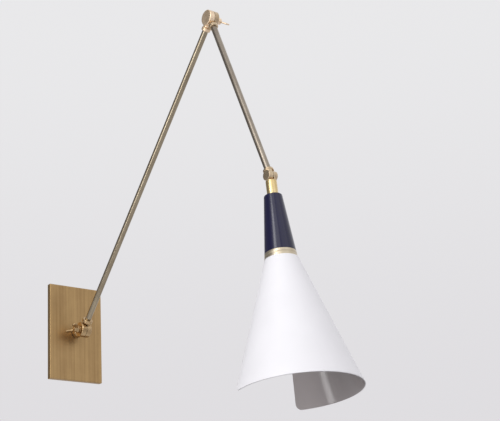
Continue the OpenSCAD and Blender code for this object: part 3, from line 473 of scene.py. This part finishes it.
class MakeFinishes(bpy.types.Operator):
    """Makes the finishes and puts them on the pieces that keep their own shape"""

    bl_idname = "wall_lamp.finishes"
    bl_label = "Finishes"

    def execute(self, context):
        look = context.scene.lamp_finishes
        wall = (np.zeros(3), np.eye(3))
        plate, tube = (look.plate, look.plate_dark), (look.tube, look.tube_dark)
        upper, stem = (look.upper, look.upper_dark), (look.stem, look.stem_dark)
        head, knuckle = (look.head, look.head_dark), (look.knuckle, look.knuckle_dark)
        brushed_brass("plate_brass", look, plate, wall, PLATE_STREAKS, PLATE_BANDS,
                      look.plate_roughness, depth=0.04)
        for name, tones, where, rough in (
                ("lower_brass", tube, LOWER_ARM, look.tube_roughness),
                # the upper arm: a darker copy of the tube brass, painted shade
                ("upper_brass", upper, UPPER_ARM, look.tube_roughness + 0.08)):
            brushed_brass(name, look, tones, where, TUBE_STREAKS, TUBE_BANDS, rough,
                          depth=0.006)
        for name, tones, where, rough in (
                # the lower knuckle: a darker copy of the knuckle brass, painted shade
                ("stem_brass", stem, STEM, look.knuckle_roughness),
                # the top eye: a lighter copy of the knuckle brass, a painted highlight
                ("head_brass", head, LOWER_ARM, look.knuckle_roughness + 0.12),
                ("upper_knuckle", knuckle, UPPER_ARM, look.knuckle_roughness),
                ("turned_brass", knuckle, SHADE, look.knuckle_roughness)):
            brushed_brass(name, look, tones, where, KNUCKLE_STREAKS, KNUCKLE_BANDS, rough,
                          depth=0.02)
        bright_brass("sleeve_brass", look.bright_brass, rough=0.22)
        bright_brass("ring_brass", look.ring_brass, rough=0.3)
        bright_brass("contact_brass", look.bright_brass, rough=0.3)
        plain_metal("zinc_plating", (0.52, 0.53, 0.55), rough=0.34)
        enamel("cup_enamel", look.cup, shift=1.15, rough=0.16, peel=0.01)
        enamel("shade_enamel", look.shade, shift=0.97, rough=0.42, peel=0.02)
        # the lining is the white enamel darkened as painted shade for the inside of the cone
        enamel("shade_lining", look.shaded_lining, shift=0.96, rough=0.14, peel=0.01)
        moulded("fibre", (0.014, 0.013, 0.012), rough=0.75, grain=1500.0, depth=0.05)
        moulded("lead_rubber", (0.012, 0.012, 0.013), rough=0.6)
        moulded("insulator", (0.74, 0.72, 0.66), rough=0.32)
        moulded("steatite", (0.78, 0.76, 0.71), rough=0.5, grain=1200.0)
        moulded("opal_glass", (0.88, 0.88, 0.85), rough=0.18, grain=300.0, depth=0.005)
        for finish, nodes in WORN.items():
            for node in nodes:
                for place in frame["nodes"][node].material_slots:
                    place.material = bpy.data.materials[finish]
        return {"FINISHED"}


# Wall plate


def outline(half_x, half_z, corner, along=24, bend=8):
    """Points round a rectangle whose corners are quarter circles, the same number at any size:
    corner centre + corner (cos t, sin t), with even points on the straights between."""
    turns = np.arange(4)[:, None] * np.pi / 2
    t = turns + np.linspace(0, np.pi / 2, bend)[None, :]
    middle = turns + np.pi / 4
    centre = np.stack([(half_x - corner) * np.sign(np.cos(middle)),
                       (half_z - corner) * np.sign(np.sin(middle))], -1)
    arcs = centre + corner * np.stack([np.cos(t), np.sin(t)], -1)
    s = np.linspace(0, 1, along + 2)[1:-1][None, :, None]
    straight = arcs[:, -1:] * (1 - s) + np.roll(arcs, -1, 0)[:, :1] * s
    return np.concatenate([arcs, straight], 1).reshape(-1, 2)


class WallPlateSizes(bpy.types.PropertyGroup):
    """Sizes of the wall plate."""

    sheet: length("Sheet", "Thickness of the folded sheet", 0.5, 3, 1.5)
    edge: length("Edge", "Radius of the folded front edge", 0.1, 1.4, 0.8)
    corner: length("Corner", "Radius of the plate's corners", 0.2, 8, 0.9)
    hole: length("Hole", "Radius of the middle hole", 2, 20, 8.02)


# Section (r, depth) of the sink for a side screw, and the folded inner corner's radius, in mm
SCREW_SINK = [(0, 1.0), (4.52, 1.0), (3.52, 0.0), (2.15, -1.2), (2.15, -2.5), (0, -2.5)]
INNER_CORNER = 0.3


class MakeWallPlate(bpy.types.Operator):
    """Makes the folded wall plate with its rounded edges"""

    bl_idname = "wall_lamp.wall_plate"
    bl_label = "Wall plate"

    def execute(self, context):
        size = context.scene.wall_plate
        half_x, half_z = (PLATE_HIGH - PLATE_LOW)[[0, 2]] / 2 / MM
        depth = -PLATE_LOW[1] / MM
        bend = np.linspace(0, np.pi / 2, 7)
        edge, sheet = size.edge, size.sheet
        # inset from the outer edge, and depth, round the fold
        inset = np.concatenate([edge * (1 - np.cos(bend[::-1])), [0.0, 0.0]])
        reach = np.concatenate([depth - edge + edge * np.sin(bend[::-1]), [depth * 0.5, 0.0]])
        outer = [(i, y, size.corner) for i, y in zip(inset, reach)]
        inner = [(sheet, y, INNER_CORNER) for y in (0.0, depth * 0.5, depth - sheet)]
        rows = []
        for in_by, y, corner in outer + inner:
            turn = max(corner - in_by * (in_by < edge), 0.2)
            flat = outline(half_x - in_by, half_z - in_by, turn)
            rows.append(np.stack([flat[:, 0], np.full(len(flat), -y), flat[:, 1]], -1))
        # the hole's two edges, each point facing one of the outline
        angle = np.arctan2(rows[0][:, 2], rows[0][:, 0])
        ring = size.hole * np.stack([np.cos(angle), np.zeros(len(angle)), np.sin(angle)], -1)
        front, back = ring - [0, depth, 0], ring - [0, depth - sheet, 0]
        near = [front * (1 - s) + rows[0] * s for s in (0.0, 0.02, 0.3, 0.7, 0.97)]
        far = [rows[-1] * (1 - s) + back * s for s in (0.3, 0.7, 1.0)]
        grid = np.stack(near + rows + far, 1) * MM
        mesh = mesh_from("wall_plate_sheet", [(grid, True, True)])
        screws = []
        for side in (1.0, -1.0):
            where = (np.array([0.0, -depth / 2 * MM, side * half_z * MM]),
                     np.array([[1.0, 0, 0], [0, side, 0], [0, 0, side]]))
            screws.append((turned(SCREW_SINK, where, around=48), True, True))
        mesh = bored(mesh, mesh_from("screw_sinks", screws))
        piece("wall_plate_sheet", mesh, "wall_plate", ["back_plate"],
              "plate_brass")
        return {"FINISHED"}


# Knuckles


class KnuckleSizes(bpy.types.PropertyGroup):
    """Sizes of the studs, washers and wing nuts of the two large knuckles."""

    stud: length("Stud", "Radius of the studs", 1, 6, 3)
    pitch: length("Pitch", "Pitch of the studs' thread", 0.4, 2, 1)
    span: length("Wing span", "Span of the wing nuts", 20, 50, 35)
    height: length("Wing height", "Height of the wing nuts", 8, 30, 18)
    tip: length("Wing tip", "Radius of the wings' tips", 2, 8, 5)
    thickness: length("Wing thickness", "Thickness of the wings", 1, 5, 2.6)


# Distances from a pivot along its stud, in mm: shank, thread, flat washer, spring washer and nut
SHANK, THREAD = (-7.4, 9.4), (9.2, 20.67)
FLAT_WASHER, SPRING_WASHER, NUT_SEAT = (9.05, 10.05), (10.07, 11.43), 11.47
# Radii of the two washers and of their bore, in mm
FLAT_RADIUS, SPRING_RADIUS, WASHER_BORE = 6.2, 5.5, 3.05
# Section (r, z) of the wing nut's hub, the easing of its corners, and its height, in mm
HUB = [(0, 0), (6.5, 0), (6.5, 1.6), (6.1, 2.1), (5.2, 8.0), (0, 8.0)]
HUB_EASE, HUB_HEIGHT = [0, 0.5, 0.3, 0.3, 0.7, 0], 8.0


def wing(size, where, mirror):
    """Grid of one wing: its outline runs round the tip's circle and down both flanks to the
    hub; from it, C(u), a pillow rises: M + (C - M) |cos w|^(2/5) and height T/2 |sin w|^(2/5)."""
    tip_x, tip_z = size.span / 2 - size.tip, size.height - size.tip
    t = np.linspace(-0.28 * np.pi, 0.72 * np.pi, 28)
    tip = np.stack([tip_x + size.tip * np.cos(t), tip_z + size.tip * np.sin(t)], -1)
    flank = np.array([tip[-1], [5.2, HUB_HEIGHT + 0.7], [2.5, HUB_HEIGHT - 1.2]])
    foot = np.array([[2.5, 1.4], [6.6, 1.9], tip[0]])

    def curve(three):
        s = np.linspace(0, 1, 12)[:, None]
        return (1 - s) ** 2 * three[0] + 2 * s * (1 - s) * three[1] + s ** 2 * three[2]

    edge = np.concatenate([tip, curve(flank)[1:], curve(foot)[:-1]])
    middle = np.array([0.62 * tip_x + 1.0, 0.5 * size.height])
    w = np.linspace(-np.pi / 2, np.pi / 2, 21)[None, :]
    reach = np.abs(np.cos(w)) ** 0.4
    rise = np.sign(np.sin(w)) * np.abs(np.sin(w)) ** 0.4 * size.thickness / 2
    flat = middle + (edge - middle)[:, None, :] * reach[..., None]
    rise = np.broadcast_to(rise, flat.shape[:2])
    return placed(np.stack([mirror * flat[..., 0], rise, flat[..., 1]], -1), where)


def wing_nut_mesh(name, size, where):
    """Wing nut: a tapered hub with a base bead, and two wings, run together as one casting."""
    grids = [(turned(eased(HUB, HUB_EASE), where, around=64), True, True)]
    grids += [(wing(size, where, side), True, True) for side in (1, -1)]
    voxel = 0.38 * MM
    cast = applied(mesh_from(name, grids),
                   ("REMESH", {"mode": "VOXEL", "voxel_size": voxel}),
                   ("SMOOTH", {"factor": 0.5, "iterations": 7}))
    bore = size.stud + 0.05
    cutter = turned([(0, -2), (bore, -2), (bore, 12), (0, 12)], where, around=64)
    return bored(cast, mesh_from("bore", [(cutter, True, True)]))


def washer_profile(outer, inner, low, high, ease=0.2):
    """Ring's section between two radii and two heights, with eased corners."""
    return eased([(inner, low), (outer, low), (outer, high), (inner, high)], ease, 4)


def split_washer(outer, inner, low, high, where, gap=0.12, rise=0.25):
    """Grid of a split spring washer: a square section carried once round, rising along t, and
    closed at its two ends."""
    section = washer_profile(outer, inner, low, high, 0.15)
    t = np.linspace(gap, 2 * np.pi - gap, 72)
    t = np.concatenate([[t[0]], t, [t[-1]]])[:, None]
    grow = np.ones_like(t)
    grow[[0, -1]] = 0
    middle = section.mean(0)
    r = middle[0] + (section[None, :, 0] - middle[0]) * grow
    z = middle[1] + (section[None, :, 1] - middle[1]) * grow * (1 - rise) \
        + (t / np.pi - 1) * rise * (high - low) / 2
    return placed(np.stack([r * np.cos(t), r * np.sin(t), z], -1), where)


class MakeKnuckles(bpy.types.Operator):
    """Makes the studs, washers and wing nuts of the two large knuckles"""

    bl_idname = "wall_lamp.knuckles"
    bl_label = "Knuckles"

    def execute(self, context):
        size = context.scene.knuckles
        for name, pivot, side, wings, finish in (
                ("lower", LOWER_PIVOT, -1.0, 14.0, "stem_brass"),
                ("upper", UPPER_PIVOT, 1.0, -36.0, "head_brass")):
            turn = math.radians(wings)
            where = frame_along(pivot, (side, 0, 0), (0, -math.cos(turn), math.sin(turn)))
            stud = threaded(size.stud, 0.32 * size.pitch, size.pitch, *THREAD, where)
            low, high = SHANK
            shank = turned(eased([(0, low), (size.stud, low), (size.stud, high), (0, high)], 0.2),
                           where, around=64)
            flat = turned(washer_profile(FLAT_RADIUS, WASHER_BORE, *FLAT_WASHER, 0.25),
                          where)
            spring = split_washer(SPRING_RADIUS, WASHER_BORE, *SPRING_WASHER, where)
            for part, node, grids in (
                    ("_stud", "_pivot_stud", [(stud, True, True), (shank, True, True)]),
                    ("_plain_washer", "_flat_washer", [(flat, True, True)]),
                    ("_split_washer", "_spring_washer", [(spring, False, True)])):
                piece(name + part, mesh_from(name + part, grids), "lower_arm", [name + node],
                      finish)
            seat = (where[0] + where[1][2] * NUT_SEAT * MM, where[1])
            piece(name + "_wings", wing_nut_mesh(name + "_wings", size, seat), name + "_wing",
                  [name + "_wing_nut"], finish)
        return {"FINISHED"}


# Arms


class ArmSizes(bpy.types.PropertyGroup):
    """Sizes of the two arm tubes."""

    outer: length("Tube", "Outer radius of the arm tubes", 3, 10, 5)
    bore: length("Bore", "Inner radius of the arm tubes", 2, 9, 4)
    facets: IntProperty(name="Facets", description="Faces round a tube", min=24, max=192,
                        default=96)


# Distance from a pivot to the tube's end in its socket, at the large and the small knuckles, in mm
LARGE_SOCKET, SMALL_SOCKET = 15.62, 9.22


class MakeArms(bpy.types.Operator):
    """Makes the two drawn arm tubes"""

    bl_idname = "wall_lamp.arms"
    bl_label = "Arms"

    def execute(self, context):
        size = context.scene.arms
        for name, where, other, far in (("lower", LOWER_ARM, UPPER_PIVOT, LARGE_SOCKET),
                                        ("upper", UPPER_ARM, SHADE_PIVOT, SMALL_SOCKET)):
            reach = np.linalg.norm(other - where[0]) / MM
            section = washer_profile(size.outer, size.bore, LARGE_SOCKET, reach - far, 0.2)
            piece(name + "_tube",
                  mesh_from(name + "_tube", [(turned(section, where, size.facets), True, True)]),
                  name + "_arm", [name + "_arm_tube"], name + "_brass")
        return {"FINISHED"}


# Sleeve, cup and ring


class CupSizes(bpy.types.PropertyGroup):
    """Sizes of the sleeve, the cup and the ring below it."""

    top: length("Cup top", "Radius of the cup at its top", 8, 30, 13.5)
    mouth: length("Cup mouth", "Radius of the cup at its mouth", 10, 40, 23)
    wall: length("Cup wall", "Thickness of the cup's side", 0.5, 4, 1.5)
    floor: length("Cup floor", "Thickness of the cup's top", 0.5, 4, 2.2)
    edge: length("Cup edge", "Rounding of the cup's top edge", 0.2, 4, 1.5)


# Radii of the pipe's hole in the cup and of the lampholder's in the ring and the shade, and the
# cup's two ends down the shade's axis, in mm
PIPE_HOLE, HOLDER_HOLE, CUP_TOP, CUP_MOUTH = 5.02, 14.1, 32.4, 123.0
# Sections (r, distance down the shade's axis) of sleeve and ring with the easing of their
# corners, in mm
SLEEVE = [(7.1, 9.0), (8.25, 9.0), (8.25, 31.85), (5.05, 31.85), (5.05, 20.22), (7.1, 20.22)]
SLEEVE_EASE = [0.15, 0.35, 0.45, 0.15, 0.1, 0.1]
RING = [(20.98, 119.02), (20.98, 123.02), (23.0, 123.02), (23.5, 127.15), (23.12, 127.4),
        (23.12, 128.1), (23.6, 128.4), (24.2, 133.1), (HOLDER_HOLE, 133.1), (HOLDER_HOLE, 131.5),
        (20.4, 131.5), (19.48, 123.02), (19.48, 119.02)]
RING_EASE = [0.1, 0.1, 0.3, 0.25, 0.1, 0.1, 0.25, 0.35, 0.1, 0.1, 0.4, 0.4, 0.1]


class MakeCup(bpy.types.Operator):
    """Makes the polished sleeve, the cup and the ring"""

    bl_idname = "wall_lamp.cup"
    bl_label = "Sleeve, cup and ring"

    def execute(self, context):
        size = context.scene.cup
        slope = (size.mouth - size.top) / (CUP_MOUTH - CUP_TOP)
        inside = CUP_TOP + size.floor
        cup = eased([(PIPE_HOLE, CUP_TOP), (size.top, CUP_TOP), (size.mouth, CUP_MOUTH),
                     (size.mouth - size.wall, CUP_MOUTH),
                     (size.top - size.wall + slope * size.floor, inside), (PIPE_HOLE, inside)],
                    [0.1, size.edge, 0.3, 0.3, 1.0, 0.1], steps=8)
        for name, section, around, body, node, slot, finish in (
                ("polished_sleeve", eased(SLEEVE, SLEEVE_EASE), 96, "shade_joint", "sleeve",
                 "polished_brass", "sleeve_brass"),
                ("tapered_cup", cup, 128, "shade_head", "shade_cup", "navy_enamel",
                 "cup_enamel"),
                ("seat_ring", eased(RING, RING_EASE), 128, "shade_head", "shade_ring",
                 "polished_brass", "ring_brass")):
            mesh = mesh_from(name, [(turned(section, SHADE, around), True, True)])
            piece(name, mesh, body, [node], finish)
        return {"FINISHED"}


# Shade


class ShadeSizes(bpy.types.PropertyGroup):
    """Sizes of the rolled shade."""

    top: length("Shade top", "Outer radius at the top", 15, 60, 25)
    rim: length("Shade rim", "Outer radius at the rim", 50, 160, 92)
    sheet: length("Sheet", "Thickness of the shade's sheet", 0.4, 2, 1)
    corner: length("Corner", "Radius of the two lower corners", 2, 40, 9)
    flange: length("Flange", "Thickness of the flange at the top", 0.5, 3, 1.16)
    first: FloatProperty(name="First edge", description="Angle of one open edge, in degrees",
                         min=-180, max=180, default=-53.5)
    last: FloatProperty(name="Second edge", description="Angle of the other open edge, in degrees",
                        min=0, max=330, default=194.5)


# The sheet's two ends down the shade's axis, in mm
SHEET_TOP, SHEET_END = 133.12, 328.1


def shade_sheet(size, columns=220, rows=72):
    """Grid of the rolled sheet: at angle a and depth v, r grows evenly from top to rim. The
    lower end is drawn up by R - sqrt(R^2 - (R - s)^2) within R of an open edge, where s is the
    distance from that edge along the rim, which rounds the two lower corners."""
    u = np.linspace(0, 1, columns)
    u = 0.5 - 0.5 * np.cos(np.pi * u) * (0.35 + 0.65 * np.abs(np.cos(np.pi * u)) ** 0.3)
    u = np.clip((u - u[0]) / (u[-1] - u[0]), 0, 1)
    angle = np.radians(size.first + u * (size.last - size.first))
    run = np.radians(size.last - size.first) * size.rim
    from_edge = np.minimum(u, 1 - u) * run
    inside = np.clip(size.corner - from_edge, 0, size.corner)
    lift = size.corner - np.sqrt(size.corner ** 2 - inside ** 2)
    slant = math.hypot(size.rim - size.top, SHEET_END - SHEET_TOP)
    v = np.linspace(0, 1, rows)[None, :] * (1 - lift / slant)[:, None]
    r = size.top + v * (size.rim - size.top)
    points = np.stack([r * np.cos(angle)[:, None], r * np.sin(angle)[:, None],
                       SHEET_TOP + v * (SHEET_END - SHEET_TOP)], -1)
    return placed(points, SHADE)


class MakeShade(bpy.types.Operator):
    """Makes the rolled shade with its open side and the flange at its top"""

    bl_idname = "wall_lamp.shade"
    bl_label = "Shade"

    def execute(self, context):
        size = context.scene.shade
        mesh = mesh_from("shade_sheet", [(shade_sheet(size), False, False)])
        centre, axes = SHADE
        # the sheet faces outward before it gets its thickness inward
        normal = np.empty(len(mesh.polygons) * 3)
        middle = np.empty(len(mesh.polygons) * 3)
        mesh.polygons.foreach_get("normal", normal)
        mesh.polygons.foreach_get("center", middle)
        away = middle.reshape(-1, 3) - centre
        away -= (away @ axes[2])[:, None] * axes[2]
        if (normal.reshape(-1, 3) * away).sum() < 0:
            mesh.flip_normals()
        # white enamel outside, and inside the lining painted darker as painted shade
        for finish in ("shade_enamel", "shade_lining"):
            mesh.materials.append(bpy.data.materials[finish])
        mesh = applied(mesh, ("SOLIDIFY", {"thickness": size.sheet * MM, "offset": -1.0,
                                           "material_offset": 1, "use_even_offset": True}),
                       ("BEVEL", {"width": 0.28 * MM, "segments": 3, "limit_method": "ANGLE",
                                  "angle_limit": math.radians(50)}))
        piece("rolled_shade", mesh, "shade_head", ["shade"], "shade_enamel")
        low, edge = SHEET_TOP + size.flange, size.top - 0.53
        flange = eased([(HOLDER_HOLE, SHEET_TOP), (edge, SHEET_TOP), (edge, low),
                        (HOLDER_HOLE, low)], 0.2)
        made = mesh_from("shade_flange", [(turned(flange, SHADE, around=128), True, True)])
        piece("shade_flange", made, "shade_head", ["shade"], "shade_enamel")
        return {"FINISHED"}


# Lampholder and bulb


class BulbSizes(bpy.types.PropertyGroup):
    """Sizes of the bulb."""

    radius: length("Bulb", "Radius of the round bulb", 15, 40, 22.5)
    centre: length("Centre", "Distance of its centre down the shade's axis", 120, 260, 174.4)
    neck: length("Neck", "Radius of its neck", 4, 15, 6.43)


# Distances down the shade's axis, in mm: the bulb's neck and the knee of its fillet, the cap's
# thread, and the ring nut; the cap's solder cone and the ring nut as sections (r, z)
NECK_END, NECK_KNEE, CAP_THREAD = 137.0, 149.0, (121.8, 142.9)
CAP_CONE = [(0, 120.6), (2.6, 120.6), (6.3, 122.4), (0, 122.4)]
RING_NUT = [(14.05, 134.32), (18.6, 134.32), (18.6, 139.0), (14.05, 139.0)]
# Radius, depth and pitch of the cap's thread; depth and number of the nut's grooves, and the
# radius beyond which they cut
CAP_RADIUS, CAP_DEPTH, CAP_PITCH = 6.95, 0.5, 2.8
GROOVE, GROOVES, GROOVED = 0.45, 36, 17


class MakeBulb(bpy.types.Operator):
    """Makes the bulb, its threaded cap and the ribbed ring nut of the lampholder"""

    bl_idname = "wall_lamp.bulb"
    bl_label = "Bulb and lampholder"

    def execute(self, context):
        size = context.scene.bulb
        # the globe from its lowest point to the neck, then a fillet into the neck
        sweep = np.linspace(0, 0.80 * np.pi, 40)
        globe = np.stack([np.sin(sweep), np.cos(sweep)], -1) * size.radius + [0, size.centre]
        s = np.linspace(0, 1, 14)[1:, None]
        foot, knee = np.array([size.neck, NECK_END]), np.array([size.neck + 0.9, NECK_KNEE])
        fillet = (1 - s) ** 2 * globe[-1] + 2 * s * (1 - s) * knee + s ** 2 * foot
        profile = np.concatenate([globe, fillet, [[0.0, NECK_END]]])
        piece("round_bulb", mesh_from("round_bulb", [(turned(profile, SHADE), True, True)]),
              "shade_head", ["bulb_glass"], "opal_glass")
        cap = threaded(CAP_RADIUS, CAP_DEPTH, CAP_PITCH, *CAP_THREAD, SHADE,
                       around=96, rows=14)
        cone = turned(eased(CAP_CONE, 0.2), SHADE, around=64)
        piece("bulb_thread", mesh_from("bulb_thread", [(cap, True, True), (cone, True, True)]),
              "shade_head", ["bulb_cap"], "contact_brass")
        # 12 points to a groove
        t = np.linspace(0, 2 * np.pi, 12 * GROOVES, endpoint=False)[:, None]
        nut = eased(RING_NUT, [0.2, 0.6, 0.6, 0.2])[None]
        r = nut[..., 0] - GROOVE * (nut[..., 0] > GROOVED) * np.clip(np.cos(GROOVES * t), 0, 1)
        z = np.broadcast_to(nut[..., 1], r.shape)
        ribs = placed(np.stack([r * np.cos(t), r * np.sin(t), z], -1), SHADE)
        piece("ribbed_nut", mesh_from("ribbed_nut", [(ribs, True, True)]), "shade_head",
              ["holder_ring"], "insulator")
        return {"FINISHED"}


# Stage


class StageSizes(bpy.types.PropertyGroup):
    """The studio's light, floor and background."""

    key: FloatProperty(name="Key", description="Power of the wide soft light on the left",
                       subtype="POWER", min=0, max=500, default=14)
    strip: FloatProperty(name="Strip", description="Power of the tall narrow light on the left",
                         subtype="POWER", min=0, max=500, default=17)
    front: FloatProperty(name="Front", description="Power of the soft light in front",
                         subtype="POWER", min=0, max=500, default=3)
    sky: FloatProperty(name="Surround", description="Brightness of the surround", min=0, max=3,
                       default=0.8)
    floor: FloatProperty(name="Floor", description="Height of the floor", subtype="DISTANCE",
                         unit="LENGTH", min=-4, max=-0.5, default=-2.2)
    floor_tone: tone("Floor tone", "Lighter colour of the floor", (0.82, 0.812, 0.82))
    floor_dark: tone("Floor tone, dark", "Darker colour of the floor", (0.80, 0.79, 0.805))
    floor_dim: share("Floor's return", "How much light the floor sends back up", 0.3)
    paper: tone("Background", "Colour of the background", (0.815, 0.812, 0.825))
    paper_low: tone("Background, low", "Colour of the background low down",
                    (0.74, 0.727, 0.75))


# The photograph's camera: the image's right and up, its place in metres, and its focal length
CAMERA_RIGHT, CAMERA_UP = (0.79870, -0.59924, -0.05464), (-0.16462, -0.30494, 0.93804)
CAMERA_PLACE, FOCAL_LENGTH = (-1.098285, -1.931550, -0.586464), 92.12

# Half the floor's width in metres, and the number of its grid lines each way
FLOOR_REACH, FLOOR_LINES = 30, 25

# The soft lights: setting of the power, place, what they face, width, height and upright, in m
LIGHTS = (
    ("key", (-1.6, -1.5, 0.8), (0, -0.35, 0.15), 1.7, 3.0, (0, 0, 1)),
    ("strip", (-1.84, -0.73, 0.19), (0, -0.6, -0.02), 0.42, 3.1, (0.42, -0.91, 2.38)),
    ("front", (0.22, -2.5, 1.1), (0, -0.5, 0.05), 1.7, 1.7, (0, 0, 1)),
)

# The surround's level without its lobes
OPEN_SKY = 1.1
# The surround's soft lobes: direction, the cosines where each begins and is full, and how much
# it adds: a rise towards the top, a bright patch on the right and behind, a dark one on the left
# behind, and a dim one below
LOBES = (
    ((0, 0, 1), -0.6, 0.7, 0.2),
    ((0.85, 0.40, 0.20), 0.55, 0.95, 0.15),
    ((-0.50, 0.80, 0.42), 0.5, 0.9, -0.9),
    ((-0.10, -0.50, -0.85), 0.35, 0.85, -0.85),
)


def soft_light(name, place, target, width, height, upright, power):
    """A rectangular soft light that faces a point, its height along the upright direction."""
    data = bpy.data.lights.new(name, "AREA")
    data.shape, data.size, data.size_y, data.energy = "RECTANGLE", width, height, power
    lamp = bpy.data.objects.new(name, data)
    bpy.context.scene.collection.objects.link(lamp)
    back = np.subtract(place, target)
    _, axes = frame_along(place, back, np.cross(upright, back))
    lamp.matrix_world = Matrix.Translation(place) @ Matrix(axes.T.tolist()).to_4x4()


class MakeStage(bpy.types.Operator):
    """Makes the floor, the surround, the soft lights and the camera"""

    bl_idname = "wall_lamp.stage"
    bl_label = "Stage"

    def execute(self, context):
        size, scene = context.scene.stage, context.scene
        scene.view_settings.view_transform = "Standard"
        axes = np.array([CAMERA_RIGHT, CAMERA_UP, np.cross(CAMERA_RIGHT, CAMERA_UP)])
        data = bpy.data.cameras.new("camera")
        data.lens, data.sensor_width, data.clip_start, data.clip_end = FOCAL_LENGTH, 36, 0.05, 60
        camera = bpy.data.objects.new("camera", data)
        camera.matrix_world = Matrix.Translation(CAMERA_PLACE) @ Matrix(axes.T.tolist()).to_4x4()
        scene.collection.objects.link(camera)
        scene.camera = camera
        self.floor(size)
        self.surround(scene, size)
        for name, *settings in LIGHTS:
            soft_light(name + "_light", *settings, getattr(size, name))
        return {"FINISHED"}

    def floor(self, size):
        """A wide matt floor: pale for the camera, for glass and for metal, and dimmer for the
        light that it sends back up."""
        across = np.linspace(-FLOOR_REACH, FLOOR_REACH, FLOOR_LINES)
        grid = np.stack(np.meshgrid(across, across, indexing="ij")
                        + [np.full((FLOOR_LINES, FLOOR_LINES), size.floor)], -1)
        made = bpy.data.objects.new("floor", mesh_from("floor", [(grid, False, False)]))
        bpy.context.scene.collection.objects.link(made)
        finish = Finish("floor_paper", Metallic=0.0, Roughness=0.8)
        pale = finish.cloudy(2.0, rgba(size.floor_tone), rgba(size.floor_dark), 2.0)
        path = finish.node("ShaderNodeLightPath").outputs
        seen = finish.math("MAXIMUM", path["Is Camera Ray"], path["Is Transmission Ray"])
        seen = finish.math("MAXIMUM", seen, path["Is Glossy Ray"])
        finish.wear(Base_Color=finish.mix(seen, rgba((1, 1, 1), size.floor_dim), pale))
        made.data.materials.append(finish.material)

    def surround(self, scene, size):
        """Pale paper, lighter at its top: at full strength for the camera and through glass,
        and with the soft lobes for the light that falls on the lamp and shows in its metal."""
        scene.world = bpy.data.worlds.new("studio")
        scene.world.use_nodes = True
        sky = Nodes(scene.world.node_tree)
        sky.tree.nodes.clear()
        look = sky.node("ShaderNodeTexCoord").outputs["Generated"]

        def lobe(direction, low, high):
            dot = sky.numbered("ShaderNodeVectorMath", {"operation": "DOT_PRODUCT"},
                               {0: look, 1: unit(direction)}, "Value")
            return sky.numbered("ShaderNodeMapRange", {"interpolation_type": "SMOOTHSTEP"},
                                {0: dot, 1: low, 2: high}, 0)

        paper = sky.mix(lobe((0, 0, 1), 0.15, 0.5), rgba(size.paper_low), rgba(size.paper))
        level = OPEN_SKY
        for direction, begin, full, amount in LOBES:
            level = sky.math("ADD", level, sky.math("MULTIPLY", lobe(direction, begin, full),
                                                    amount))
        path = sky.node("ShaderNodeLightPath").outputs
        shown = sky.math("MAXIMUM", path["Is Camera Ray"], path["Is Transmission Ray"])
        strength = sky.numbered("ShaderNodeMix", {"data_type": "FLOAT"},
                                {0: shown, 2: sky.math("MULTIPLY", level, size.sky), 3: 1.0}, 0)
        shine = sky.numbered("ShaderNodeBackground", {}, {0: paper, 1: strength}, 0)
        sky.node("ShaderNodeOutputWorld", Surface=shine)


class LampPanel(bpy.types.Panel):
    """Lists the lamp's pieces with their sizes"""

    bl_idname = "VIEW3D_PT_wall_lamp"
    bl_label = "Wall lamp"
    bl_space_type = "VIEW_3D"
    bl_region_type = "UI"
    bl_category = "Wall lamp"

    def draw(self, context):
        for operator, group in STEPS:
            box = self.layout.box()
            box.operator(operator.bl_idname)
            settings = getattr(context.scene, group)
            for key in type(settings).__annotations__:
                box.prop(settings, key)


GROUPS = {
    "lamp_finishes": LampFinishes, "wall_plate": WallPlateSizes, "knuckles": KnuckleSizes,
    "arms": ArmSizes, "cup": CupSizes, "shade": ShadeSizes, "bulb": BulbSizes,
    "stage": StageSizes,
}
STEPS = (
    (MakeFinishes, "lamp_finishes"), (MakeWallPlate, "wall_plate"), (MakeKnuckles, "knuckles"),
    (MakeArms, "arms"), (MakeCup, "cup"), (MakeShade, "shade"), (MakeBulb, "bulb"),
    (MakeStage, "stage"),
)


def register():
    """Registers the groups, the operators and the panel."""
    for name, group in GROUPS.items():
        bpy.utils.register_class(group)
        setattr(bpy.types.Scene, name, PointerProperty(type=group))
    for operator, _ in STEPS:
        bpy.utils.register_class(operator)
    bpy.utils.register_class(LampPanel)


def unregister():
    """Removes what register added."""
    bpy.utils.unregister_class(LampPanel)
    for operator, _ in STEPS:
        bpy.utils.unregister_class(operator)
    for name, group in GROUPS.items():
        delattr(bpy.types.Scene, name)
        bpy.utils.unregister_class(group)


def main():
    """Makes the pieces in order."""
    register()
    for operator, _ in STEPS:
        group, name = operator.bl_idname.split(".")
        getattr(getattr(bpy.ops, group), name)()


if __name__ == "__main__":
    main()
